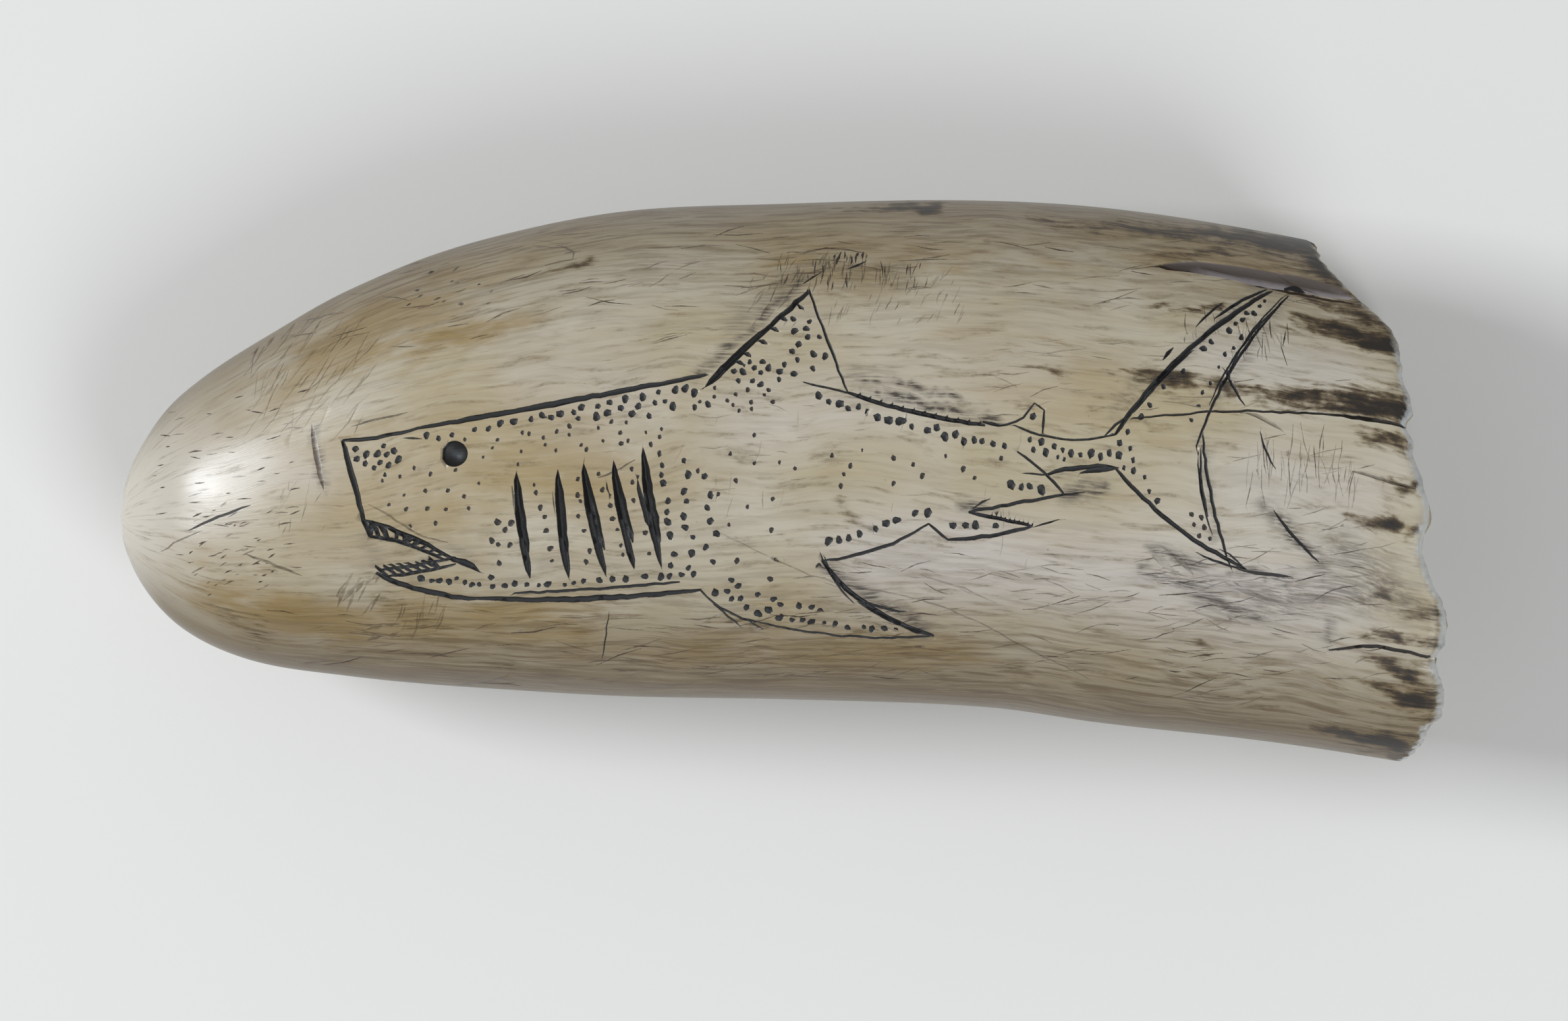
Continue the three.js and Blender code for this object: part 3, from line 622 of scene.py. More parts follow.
# What each point of the skin holds: pigment, dirt, stains, painted shade, and how deep it sinks below the
# polished form.
# The soft marks are given as from, to, how far they reach and how strong they are. The haze is grey pigment
# rubbed beside the picture, and the stains are brown-black dirt in the open grain.
EDGE_ROUNDING = 0.9  # how far from the break its worn edge is rounded
SKIN_INSET = 0.03  # how far inside the measured form the skin lies
POLISHED_TIP = 10  # the grain is polished away up to this far from the tip
GRAIN_FULL = 38  # where the grain has its full strength
HAZE = [
    ((-9.8, 11.5), (1.9, 22.7), 0.6, 0.8), ((-6, 17.5), (1.5, 23.6), 1.2, 0.35),
    ((2, 22.3), (4.5, 24.2), 0.5, 0.45), ((3, 24), (13, 23.5), 1.8, 0.32),
    ((8.4, 10.6), (24, 6.6), 0.4, 1.1), ((9, 12), (20, 9.2), 0.35, 0.9), ((8, 12.4), (12, 11.6), 1, 0.4),
    ((5, -9.7), (15.8, -16.7), 0.8, 0.8), ((38.7, 8.2), (52, 20.6), 0.5, 0.4),
    ((36.6, 7), (40, 12), 0.5, 0.35), ((56.8, 20.8), (48.6, 9), 0.7, 0.4),
    ((47, 5), (48.6, -6.6), 0.5, 0.35), ((50.6, -9.9), (57.4, -10.9), 0.4, 0.9),
    ((31.8, -1.4), (35.6, -0.6), 0.8, 0.95), ((31.4, 0.9), (33.6, 1), 0.7, 0.35),
    ((20.4, -2.6), (22.4, -2.9), 0.6, 0.95), ((41.4, -7.5), (47.6, -9.7), 0.6, 0.9),
    ((40.5, -9.9), (46, -11.8), 0.6, 0.85), ((46, -11.2), (56, -12.4), 0.9, 0.4),
    ((46.5, -12.6), (53, -15.4), 0.8, 0.8), ((54.4, -3), (61, -9.8), 1, 0.6),
    ((54.8, -3.2), (56.2, -4.4), 0.5, 0.8), ((57, -5.6), (58.8, -7.6), 0.55, 1),
    ((54, -13), (67, -12.5), 2.2, 0.5), ((60.3, -9), (61.6, -18), 0.6, 0.55),
    ((61.6, -8.5), (62.2, -14), 0.4, 0.4), ((63, -8), (69, -13), 2.4, 0.5),
    ((-38, -7), (-35.2, -9.6), 0.8, 0.25), ((-47.4, -6), (-46, -9.8), 0.9, 0.25),
    ((-40, -8), (-42, -11.6), 0.8, 0.2), ((53.2, 22.4), (60, 21.9), 1.2, 0.6),
    ((-53.3, 6.3), (-52.2, -0.6), 0.45, 0.6),
]
STAINS = [
    ((57.5, 18.8), (71.5, 14), 1.2, 1.45), ((56, 17.6), (66, 16), 1.2, 0.7),
    ((60, 17.5), (71, 16.2), 1.8, 0.95), ((61, 20.6), (70, 17), 1.6, 0.8), ((50, 10.6), (60, 9.4), 1.1, 1),
    ((52, 9), (64, 7.9), 0.7, 0.8), ((57, 10), (72, 7.6), 1.8, 1.4), ((64, 10.4), (71.5, 8.6), 1.6, 0.9),
    ((36, 12.2), (45.5, 11.6), 1.1, 0.95), ((45.2, 11.2), (50, 10.4), 0.9, 0.7),
    ((27, 12.6), (31, 12.4), 0.5, 0.5), ((41, 20.2), (49.6, 19.4), 0.5, 0.8),
    ((64.5, 5.4), (69.5, 4.2), 1, 0.8), ((68.2, 4.4), (70.6, 3.9), 0.8, 0.8),
    ((66, 0.3), (73, -1.2), 0.6, 1.1), ((62.8, -4.2), (68.6, -5.2), 0.8, 1.2),
    ((67, -5), (73, -6), 0.6, 0.8), ((64, -12.6), (67.6, -12.8), 0.8, 0.7),
    ((67, -14), (74, -15.6), 1.8, 0.45), ((65, -16.6), (69.5, -17.6), 0.6, 1),
    ((68, -17.4), (74, -18.6), 0.6, 0.75), ((65.5, -19.4), (70.6, -22), 1.1, 1.05),
    ((65, -22.8), (72, -25), 1.2, 1.15), ((70.4, -22.6), (73.6, -25.6), 1.5, 0.95),
    ((68, -26), (73, -27.4), 0.8, 0.5), ((60, -28.2), (69.6, -29.8), 1.1, 1.4),
    ((63, -30), (74, -31.8), 1.3, 1), ((66, -27), (71, -29), 1.8, 0.45),
    ((28, 29.6), (61, 27.2), 1.5, 1.05), ((44, 28.4), (61, 26.4), 1.6, 1),
    ((55, 24.8), (61.6, 24.6), 1, 0.6), ((60.5, 26.4), (70.5, 16.2), 1.2, 0.8),
    ((52, 28.4), (61, 26.8), 1.3, 1.2), ((66.4, 19), (60.5, 25), 1.6, 1.2),
    ((40.5, 25.6), (50, 26.2), 0.7, 0.7), ((58, 21), (66, 18.8), 1.2, 0.9),
    ((6, 31.4), (17.5, 31.2), 0.8, 1), ((46.6, -17.2), (47.6, -19.6), 0.7, 0.65),
    ((25, 8.4), (28, 8.2), 0.5, 0.35), ((-3, -6.5), (2.4, -6.2), 0.3, 0.5),
    ((3, -17.3), (9, -17.1), 0.6, 0.5), ((-10, -15.6), (-2, -15.9), 0.6, 0.45),
    ((5, 0.4), (7.6, -3.8), 0.8, 0.5), ((-47, -13), (-41, -16), 2, 0.4),
    ((-36, -19.6), (-31, -21.4), 0.9, 0.35), ((-67, -13), (-60, -17), 2, 0.3),
    ((-27, 24.2), (-22, 25), 0.4, 0.7), ((51.6, -25.4), (56, -25.6), 0.5, 0.45),
]


def depth_in_cut(x, y, line, half):
    """How far inside a cut's edge each place is, and the cut's half width there. The edge is a half width
    away from the line, and of the line's straight pieces the one that gives most counts."""
    way = line[1:] - line[:-1]
    from_start = np.stack([x, y], -1)[:, None] - line[:-1]
    share = ((from_start * way).sum(-1) / (way**2).sum(-1)).clip(0, 1)
    away = np.hypot(*(from_start - share[..., None] * way).transpose(2, 0, 1))
    wide = half[:-1] + (half[1:] - half[:-1]) * share
    best = (np.arange(len(x)), (wide - away).argmax(1))
    return (wide - away)[best], wide[best]


def cut_fields(x, y, chosen, chosen_dots=()):
    """For places on the skin: how far inside the nearest cut or dot they are, below 0 outside it, that
    one's ink and brown, and how deep the skin sinks. A V groove's depth grows evenly from its edge, and a
    broad gouge's or a dot's as the arc of a circle."""
    inside = np.full(len(x), -1.0)
    ink, brown, sink = np.zeros((3, len(x)))

    def close_to(low, high):
        return np.nonzero((x > low[0]) & (x < high[0]) & (y > low[1]) & (y < high[1]))[0]

    def add(places, depth_in, wide, depth, its_ink, its_brown, is_round):
        part = (depth_in / wide).clip(0, 1)
        floor = np.sqrt(1 - (1 - part) ** 2) if is_round else part
        sink[places] = np.maximum(sink[places], depth * floor)
        nearer = depth_in > inside[places]
        inside[places[nearer]] = depth_in[nearer]
        ink[places[nearer]], brown[places[nearer]] = its_ink, its_brown

    for one in chosen:
        line, half = one["line"], one["half"]
        reach = half.max() + 1
        places = close_to(line.min(0) - reach, line.max(0) + reach)
        if len(places):
            depth_in, wide = depth_in_cut(x[places], y[places], line, half)
            add(places, depth_in, wide, one["slope"] * wide, one["ink"], one["brown"], len(one["rows"]) > 1)
    for which in chosen_dots:
        cx, cy, radius, its_ink, its_brown = dots[which]
        places = close_to((cx - radius - 1, cy - radius - 1), (cx + radius + 1, cy + radius + 1))
        dx, dy = x[places] - cx, y[places] - cy
        wide = dot_reach(which, np.arctan2(dy, dx))
        depth = EYE_DEPTH if radius > 1 else DOT_DEPTH * radius
        add(places, wide - np.hypot(dx, dy), wide, depth, its_ink, its_brown, True)
    return inside, ink, brown, sink


def soft_marks(x, y, marks, start_share=1.0):
    """The strongest of the marks at each place: a strength times a bell curve of the distance to the
    straight way from one point to the other. Both the strength and the reach grow along the way, from a
    share of the full ones to the full ones. The places are first shaken by waves, which frays the marks."""
    frayed = y + 0.25 * np.sin(0.9 * x + 2 * np.sin(0.37 * x)) + 0.12 * np.sin(2.9 * x)
    places = np.stack([x + 0.3 * np.sin(1.7 * y), frayed], -1)
    total = np.zeros(len(x))
    for start, end, reach, strength in marks:
        start, way = np.array(start), np.subtract(end, start)
        from_start = places - start
        share = (from_start @ way / (way @ way)).clip(0, 1)
        away = np.hypot(*(from_start - share[:, None] * way).T)
        growth = start_share + (1 - start_share) * share
        total = np.maximum(total, strength * growth * np.exp(-((away / (reach * growth)) ** 2)))
    return total


# Clouds in the ivory: deeper yellow ones, and pale ones where the polish has kept it whitest, which on the
# tip and low on the engraved face are partly a painted sheen.
OCHRE_CLOUDS = [
    ((-56, 3), (-46, 6), 4, 0.5), ((-48, 13), (-30, 19), 5, 0.7), ((-62, 8), (-44, 19), 5, 0.5),
    ((-66, -12), (-50, -17), 5, 0.7), ((-44, -14), (-24, -16), 4, 0.6), ((-36, -6), (-18, -4), 5, 0.35),
    ((-47, -2), (-20, 1), 12, 0.4), ((-60, 12), (-40, 22), 6, 0.6), ((0, 25), (30, 24), 4, 0.5),
    ((20, 12), (34, 13), 4, 0.3), ((-10, -19), (20, -20), 3.5, 0.5), ((36, 27), (56, 26), 4, 0.7),
]
PALE_CLOUDS_AND_SHEEN = [
    ((-76, -6), (-64, 2), 9, 0.5), ((-62, 2), (-54, 1), 4, 0.5), ((-28, 12), (-20, 11), 5, 0.5),
    ((-4, 6), (28, 14), 5, 0.45), ((10, -9), (60, -13), 6, 1), ((20, -8), (36, -12), 5, 1),
    ((54, 0), (64, -2), 5, 0.7), ((50, 14), (62, 12), 3, 0.6),
]


def patina_and_edge_shade(turn):
    """How brown the ivory is round the tooth, partly aged and partly painted shade on its rounded edges:
    two bell curves, on the upper and the lower edge, over an even tone on the side that it lies on."""
    upper = np.abs((turn + 180) % 360 - 180)
    lower = np.abs(turn - 182)
    edges = 0.85 * np.exp(-((upper / 42) ** 2)) + 1.1 * np.exp(-((lower / 50) ** 2))
    under = 0.45 * (np.abs(turn % 360 - 270) < 80)
    return np.maximum(edges, under) + 0.06


def outward(d, turn):
    """The skin's unit normal: the cross product of small steps round the tooth and along it."""
    def at(d, turn):
        return section(d, turn, half_width(d), half_thickness(d))

    along = at(d + 0.01, turn) - at(d - 0.01, turn)
    round_it = at(d, turn + 0.2) - at(d, turn - 0.2)
    normal = np.cross(round_it, along)
    return normal / np.linalg.norm(normal, axis=-1, keepdims=True)


def worn_skin(d, turn, sink):
    """The skin's points, sunk along the normal. Besides the cuts, the form is a little uneven from
    scraping, which is a sum of long waves, rounded off at the break, and flat where it lies."""
    points = section(d, turn, half_width(d), half_thickness(d))
    x, y, z = points.T
    uneven = 0.05 * np.sin(0.16 * x + 0.21 * y + 1) * np.sin(0.31 * y - 0.05 * x + 0.19 * z)
    uneven += 0.025 * np.sin(0.9 * y + 0.06 * x + 0.7 * z)
    to_break = broken_edge(turn) - d
    rounding = 0.5 * (1 - to_break / EDGE_ROUNDING).clip(0, 1) ** 2
    points = points - outward(d, turn) * (sink + uneven + SKIN_INSET + rounding)[:, None]
    points[:, 2] = points[:, 2].clip(0)
    return points


skin_d, skin_turn = d_at(sheet[:, 0]), sheet[:, 1] / MM_PER_DEGREE
plan = section(skin_d, skin_turn, half_width(skin_d), half_thickness(skin_d))
engraved_side = (skin_turn > 0) & (skin_turn < 180)
plan_x = plan[:, 0]
plan_y = np.where(engraved_side, plan[:, 1], 1000)
# Clouds and stains carry on round the edges, where a place's y is the edge's and the way down from there.
side = np.sign(np.cos(np.radians(skin_turn)))
below_edge = half_width(skin_d) + middle_height(skin_d) - plan[:, 2]
round_y = np.where(engraved_side, plan[:, 1], middle(skin_d) + side * below_edge)

inked = [one for one in cuts if one["ink"] >= 0.8]
faint = [one for one in cuts if 0 < one["ink"] < 0.8]
blank = [one for one in cuts if one["ink"] == 0]
ink_in, _, ink_brown, ink_sink = cut_fields(plan_x, plan_y, inked, range(len(dots)))
mark_in, mark_ink, mark_brown, mark_sink = cut_fields(plan_x, plan_y, faint)
gouge_in, _, _, gouge_sink = cut_fields(plan_x, plan_y, blank)
gouge_line = blank[0]["line"]
gouge_side = (plan_y - np.interp(plan_x, *gouge_line.T)) / blank[0]["half"].max()
skin_fields = {
    "ink": ink_in,
    "ink_brown": ink_brown,
    "mark": mark_in,
    "mark_ink": mark_ink,
    "mark_brown": mark_brown,
    "gouge": gouge_in,
    # painted shade and brown dirt darken the gouge's upper wall and its thin end
    "gouge_dirt_and_shade": np.maximum(0.35 + 1.5 * gouge_side, (51 - plan_x) / 5).clip(0, 1),
    "ochre": soft_marks(plan_x, round_y, OCHRE_CLOUDS),
    "pale_and_sheen": soft_marks(plan_x, round_y, PALE_CLOUDS_AND_SHEEN),
    "patina_and_edge_shade": patina_and_edge_shade(skin_turn) * (sheet[:, 0] / POLISHED_TIP).clip(0, 1),
    "grain": ((sheet[:, 0] - POLISHED_TIP) / (GRAIN_FULL - POLISHED_TIP)).clip(0, 1),
    "haze": soft_marks(plan_x, round_y, HAZE),
    "stain": soft_marks(plan_x, round_y, STAINS, 0.4),
    "to_break": broken_edge(skin_turn) - skin_d,
    "hollow": np.zeros(len(sheet)),
}
skin_points = worn_skin(skin_d, skin_turn, gouge_sink + np.maximum(ink_sink, mark_sink))
skin_uv = np.stack([0.01 + 0.8 * sheet[:, 0] / sheet[:, 0].max(), 0.01 + 0.98 * (skin_turn + 90) / 360], -1)

# The tip's fan, the broken wall and the hollow of the root. The break is a rough band from the outer edge
# to the inner one, and the hollow narrows from there to a blunt end, with faint growth ridges.
FRACTURE_ROWS = 7
HOLLOW_ROWS = 34
FRACTURE_ROUGHNESS = 0.352
RIDGE_HEIGHT = 0.12
RIDGE_TURNS = 2.1  # radians of a ridge's wave per millimetre
HOLLOW_ROUGHNESS = 0.1

to_edge = np.interp(sheet[:, 1], edge_line[:, 1], edge_line[:, 0]) - sheet[:, 0]
edge_index = np.nonzero(np.abs(to_edge) < 1e-3)[0]
edge_index = edge_index[np.argsort(sheet[edge_index, 1])]
columns = len(edge_index)
column_turns = skin_turn[edge_index]
outer_edge = skin_points[edge_index]
edge_d = broken_edge(column_turns)
inner_d = edge_d - EDGE_SLANT
inner_edge = section(inner_d, column_turns, half_width(inner_d) - WALL, half_thickness(inner_d) - WALL)


def rough(rows, size):
    """A closed field of bumps, row by row: random values smoothed along the row by a short window."""
    noise = rng.standard_normal((rows, columns - 1))
    window = np.array([1, 3, 4, 3, 1]) / 12
    smoothed = sum(w * np.roll(noise, k - 2, 1) for k, w in enumerate(window))
    return size * np.concatenate([smoothed, smoothed[:, :1]], 1)


across = np.linspace(0, 1, FRACTURE_ROWS + 1)[:, None, None]
fracture = outer_edge * (1 - across) + inner_edge * across
fracture[1:, :, 0] += rough(FRACTURE_ROWS, FRACTURE_ROUGHNESS)
from_end = ((1 - np.arange(1, HOLLOW_ROWS + 1) / (HOLLOW_ROWS + 0.6)) ** 1.5)[:, None]
hollow_d = HOLLOW_START + (inner_d - HOLLOW_START) * from_end
opening = from_end**HOLLOW_ROUNDING
ridges = RIDGE_HEIGHT * np.sin(hollow_d * RIDGE_TURNS) + rough(HOLLOW_ROWS, HOLLOW_ROUGHNESS)
turns = np.broadcast_to(column_turns, hollow_d.shape)
hollow = section(
    hollow_d, turns,
    (half_width(hollow_d) - WALL + ridges) * opening, (half_thickness(hollow_d) - WALL + ridges) * opening,
)
inner_rows = np.concatenate([fracture, hollow])
blind_end = section(np.array([HOLLOW_START]), np.array([0]), 0, 0)

tip_ring = worn_skin(np.full(len(tip_turns), FIRST_RING), tip_turns, 0 * tip_turns)
tip_pole = section(np.array([0.0]), np.array([0]), 0, 0)

# All of it is joined into one closed mesh.
row_count, column_count = inner_rows.shape[:2]
first_inner = len(skin_points)
first_tip = first_inner + row_count * column_count + 1
points = np.concatenate([skin_points, inner_rows.reshape(-1, 3), blind_end, tip_ring, tip_pole])
cell = first_inner + np.arange((row_count - 1) * column_count).reshape(-1, column_count)[:, :-1].reshape(-1)
quads = np.stack([cell, cell + 1, cell + column_count + 1, cell + column_count], -1)
last_row = first_inner + (row_count - 1) * column_count + np.arange(column_count - 1)
blind_fan = np.stack([last_row, last_row + 1, np.full_like(last_row, first_tip - 1)], -1)
tip_at = first_tip + np.arange(len(tip_turns) - 1)
tip_fan = np.stack([np.full_like(tip_at, len(points) - 1), tip_at + 1, tip_at], -1)
faces = sheet_faces[:, ::-1].tolist() + quads.tolist() + blind_fan.tolist() + tip_fan.tolist()

inner_turns = np.tile(column_turns, row_count)
inner_row = np.repeat(np.arange(row_count), column_count)
inner_uv = np.stack([0.83 + 0.16 * inner_row / row_count, 0.01 + 0.98 * (inner_turns + 90) / 360], -1)
tip_uv = np.stack([0 * tip_turns + 0.01, 0.01 + 0.98 * (tip_turns + 90) / 360], -1)
uv = np.concatenate([skin_uv, inner_uv, [(0.995, 0.5)], tip_uv, [(0.002, 0.5)]])
inner_hollow = (inner_row / FRACTURE_ROWS).clip(0, 1)
inner_hollow += ((inner_row - FRACTURE_ROWS) / HOLLOW_ROWS).clip(0, 1)
extra = len(points) - len(skin_points)
CUT_FIELDS = ("ink", "mark", "gouge")
round_tip = sheet[:, 0] < 1e-6
for name, values in skin_fields.items():
    skin_fields[name] = np.concatenate([values, np.full(extra, -1.0 if name in CUT_FIELDS else 0.0)])
    skin_fields[name][first_tip:] = values[round_tip].mean()
skin_fields["hollow"][first_inner:first_tip] = [*inner_hollow, 2]

# The grain runs from the tip along the tooth: it is drawn on a straight rod of the tooth's mean radius,
# whose length is the run along the skin.
GRAIN_RADIUS = 26
rod_run = np.concatenate([sheet[:, 0], run_at(points[first_inner:, 0] + LENGTH / 2)])
rod_turn = np.radians(np.concatenate([skin_turn, inner_turns, [0], tip_turns, [0]]))
rod = np.stack([rod_run, GRAIN_RADIUS * np.cos(rod_turn), GRAIN_RADIUS * np.sin(rod_turn)], -1)


def read(items, name, kind=np.int32):
    """One property of all the items of a mesh, as an array."""
    values = np.empty(len(items), kind)
    items.foreach_get(name, values)
    return values


# The mesh has its middle where the measured form has it.
shift = (np.array(cad_bounds[0]) + cad_bounds[1])[:2] / 2 * 1000 - (points.min(0) + points.max(0))[:2] / 2
points[:, :2] += shift
mesh = bpy.data.meshes.new("tooth_fine")
mesh.from_pydata((points * 0.001).tolist(), [], faces)
for name, values in skin_fields.items():
    mesh.attributes.new(name, "FLOAT", "POINT").data.foreach_set("value", values.astype(np.float32))
rod_places = mesh.attributes.new("grain_place", "FLOAT_VECTOR", "POINT")
rod_places.data.foreach_set("vector", rod.astype(np.float32).ravel())
corner_uv = uv[read(mesh.loops, "vertex_index")]
mesh.uv_layers.new(name="Unrolled").uv.foreach_set("vector", corner_uv.astype(np.float32).ravel())

bm = bmesh.new()
bm.from_mesh(mesh)
bmesh.ops.remove_doubles(bm, verts=bm.verts, dist=2e-6)
bm.to_mesh(mesh)
bm.free()
mesh.shade_smooth()

# Every cut has a crisp border: the edges between its faces and the skin's are sharp.
CUT_FACE = 0.02  # a face with a point this far inside a cut belongs to the cut
corner_edge = read(mesh.loops, "edge_index")
inside = np.max([read(mesh.attributes[name].data, "value", np.float32) for name in CUT_FIELDS], 0)
corner_inside = inside[read(mesh.loops, "vertex_index")]
in_cut = np.maximum.reduceat(corner_inside, read(mesh.polygons, "loop_start")) > CUT_FACE
corners_in_cut = np.repeat(in_cut, read(mesh.polygons, "loop_total"))
cut_sides = np.bincount(corner_edge, corners_in_cut, len(mesh.edges))
mesh.edges.foreach_set("use_edge_sharp", (cut_sides > 0) & (cut_sides < np.bincount(corner_edge)))

tooth = bpy.data.objects.new("engraved_tooth", mesh)
bpy.context.scene.collection.objects.link(tooth)
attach(tooth, "root")
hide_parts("tooth")

# The ivory. Aged sperm whale ivory, scraped and hand polished. It is a warm cream with a satin gloss,
# browner on its rounded edges, partly from age and partly as painted shade, with ochre clouds and fine
# brown grain along the tooth. Dark dirt sits in the open grain near the break, and blue-black pigment in
# the cuts.
IVORY_IOR = 1.54
POLISH_ROUGHNESS = 0.27
SCRAPE_ROUGHNESS = 0.1  # what the scrape marks add
SCRAPE_DEPTH = 0.0001  # metres, for the bump
IVORY_WHITE = "#C9C1AF"
PALE_AND_SHEEN_WHITE = "#CCC4BB"
IVORY_CREAM = "#B7A98A"
OCHRE = "#9C824E"
PATINA_AND_SHADE_BROWN = "#5E4921"
GRAIN_BROWN = "#523D1C"
STAIN_OLIVE = "#75623A"
STAIN_BROWN = "#4A3820"
STAIN_AND_SHADE_BLACK = "#1E1812"
SMUDGE = "#4C443C"
PIGMENT = "#080A10"
EYE_HIGHLIGHT_GREY = "#3C424A"
SCRATCH_BROWN = "#3C2A18"
GOUGE_LILAC = "#BDB4B6"
GOUGE_DIRT_AND_SHADE_BROWN = "#43372E"
RIM_PALE_AND_HIGHLIGHT = "#CACCCA"
RIM_OLIVE = "#6A5C38"
BROKEN_WALL = "#BFB59E"
WALL_DIRT = "#877654"
HOLLOW_BROWN = "#6E5837"
RIM_CORNER = 0.012  # Y in metres above which the broken edge is stained olive

# Each pattern is noise stretched along the grain. Its numbers are the length and width of its blots in
# millimetres, how rough it is, the values of the noise that become least and most, and least and most. Real
# fibres and scrape marks are finer than here, where they are as coarse as they need to be to show.
PATTERNS = {
    "clouds": (26, 11, 0.5, 0.35, 0.65, 0, 1),
    "ochre_clouds": (16, 7, 0.6, 0.36, 0.6, 0.1, 1),
    "bands": (18, 1.5, 0.6, 0.5, 0.75, 0, 0.2),
    "fibres": (13, 0.35, 0.6, 0.45, 0.8, 0, 0.14),
    "pale_fibres": (15, 0.5, 0.6, 0.45, 0.75, 0, 0.17),
    "streaks": (10, 0.7, 0.6, 0.44, 0.64, 0, 1),
    "hairs": (4, 0.12, 0.4, 0.69, 0.76, 0, 0.75),
    "hairs_here": (12, 6, 0.5, 0.5, 0.66, 0, 1),
    "flecks": (0.9, 0.35, 0.5, 0.73, 0.8, 0, 0.6),
    "stain_streaks": (6, 0.7, 0.6, 0.3, 0.7, -0.3, 0.3),
    "stain_grit": (0.9, 0.4, 0.7, 0.3, 0.7, -0.13, 0.13),
    "smears": (5, 0.25, 0.7, 0.35, 0.62, 0.15, 1.35),
    "wear": (1.3, 0.8, 0.6, 0.3, 0.6, 0.6, 1.15),
    "cut_edges": (0.5, 0.4, 0.6, 0.3, 0.7, -0.03, 0),
    "rim_edges": (1.2, 1.2, 0.6, 0.3, 0.7, -0.35, 0.35),
    "hollow_clouds": (9, 3.5, 0.5, 0.3, 0.7, 0, 0.6),
    "scrape_marks": (6, 0.22, 0.6, 0.2, 0.8, 0, 1),
}
PATTERN_APART = 9.7  # how far along the grain each pattern's noise is from the last one's
WANDER = 14  # the grain's lines bend over about this length, in millimetres
WANDER_REACH = 3.2  # and stray this far to both sides


def linear(hex_colour):
    """An sRGB hex colour as linear light: each channel by the sRGB curve."""
    channels = np.array([int(hex_colour[i:i + 2], 16) for i in (1, 3, 5)]) / 255
    light = np.where(channels <= 0.04045, channels / 12.92, ((channels + 0.055) / 1.055) ** 2.4)
    return (*light.tolist(), 1)


def node(kind, inputs, out=0, **settings):
    """Adds a node with its settings, sets or links its inputs, and gives one of its outputs. A hex colour
    is made linear first."""
    made = tree.nodes.new("ShaderNode" + kind)
    for name, value in settings.items():
        setattr(made, name, value)
    for socket, value in inputs.items():
        if isinstance(value, bpy.types.NodeSocket):
            tree.links.new(value, made.inputs[socket])
        else:
            made.inputs[socket].default_value = linear(value) if isinstance(value, str) else value
    return made.outputs[out]


ivory = bpy.data.materials.new("polished_tooth_ivory")
ivory.use_nodes = True
tree = ivory.node_tree
shader = tree.nodes["Principled BSDF"]

field = {name: node("Attribute", {}, "Fac", attribute_name=name) for name in skin_fields}
grain_place = node("Attribute", {}, "Vector", attribute_name="grain_place")
bends = node("TexNoise", {"Vector": grain_place, "Scale": 1 / WANDER, "Detail": 1}, "Color")
bends = node("VectorMath", {0: bends, 1: (0.5, 0.5, 0.5)}, operation="SUBTRACT")
reach = (0, WANDER_REACH, WANDER_REACH)
bent_grain = node("VectorMath", {0: bends, 1: reach, 2: grain_place}, operation="MULTIPLY_ADD")
pattern = {}
for number, (name, (length, width, roughness, *steps)) in enumerate(PATTERNS.items()):
    stretch = {0: bent_grain, 1: (1 / length, 1 / width, 1 / width), 2: (PATTERN_APART * number, 0, 0)}
    stretched = node("VectorMath", stretch, operation="MULTIPLY_ADD")
    noise = node("TexNoise", {"Vector": stretched, "Scale": 1, "Detail": 4, "Roughness": roughness})
    pattern[name] = node("MapRange", dict(enumerate([noise, *steps])), interpolation_type="SMOOTHSTEP")

# How much each colour shows: smooth steps of sums, and products of fields and patterns.
up_the_picture = node("SeparateXYZ", {0: node("TexCoord", {}, "Object")}, "Y")
share = {}
stain_noise = node("Math", {0: pattern["stain_streaks"], 1: pattern["stain_grit"]}, operation="ADD")
for name, value, added, steps in [
    ("stain_halo", field["stain"], pattern["stain_streaks"], (0.0, 0.6, 0, 0.6)),
    ("stain", field["stain"], stain_noise, (0.15, 0.75, 0, 0.9)),
    ("stain_core", field["stain"], stain_noise, (0.45, 1.05, 0, 0.95)),
    ("mark", field["mark"], pattern["cut_edges"], (0, 0.03, 0, 1)),
    ("ink", field["ink"], pattern["cut_edges"], (0, 0.04, 0, 0.98)),
    # the eye's middle is lighter grey, a painted highlight on its pigment
    ("eye", field["ink"], 0, (0.8, 1.4, 0, 0.6)),
    ("gouge", field["gouge"], 0, (0, 0.08, 0, 1)),
    ("corner", up_the_picture, 0, (RIM_CORNER, RIM_CORNER + 0.006, 0, 1)),
    # the break's worn edge is pale unstained ivory with a painted highlight of its bevel
    ("rim", field["to_break"], pattern["rim_edges"], (0.1, 1.0, 0.85, 0)),
    ("hollow", field["hollow"], 0, (0, 0.1, 0, 1)),
    ("wall", field["hollow"], 0, (0.5, 1, 0, 1)),
    # painted shade: the hollow goes black towards its blind end
    ("painted_shade_depths", field["hollow"], 0, (1, 2, 0, 1)),
]:
    total = node("Math", {0: value, 1: added}, operation="ADD")
    share[name] = node("MapRange", dict(enumerate([total, *steps])), interpolation_type="SMOOTHSTEP")
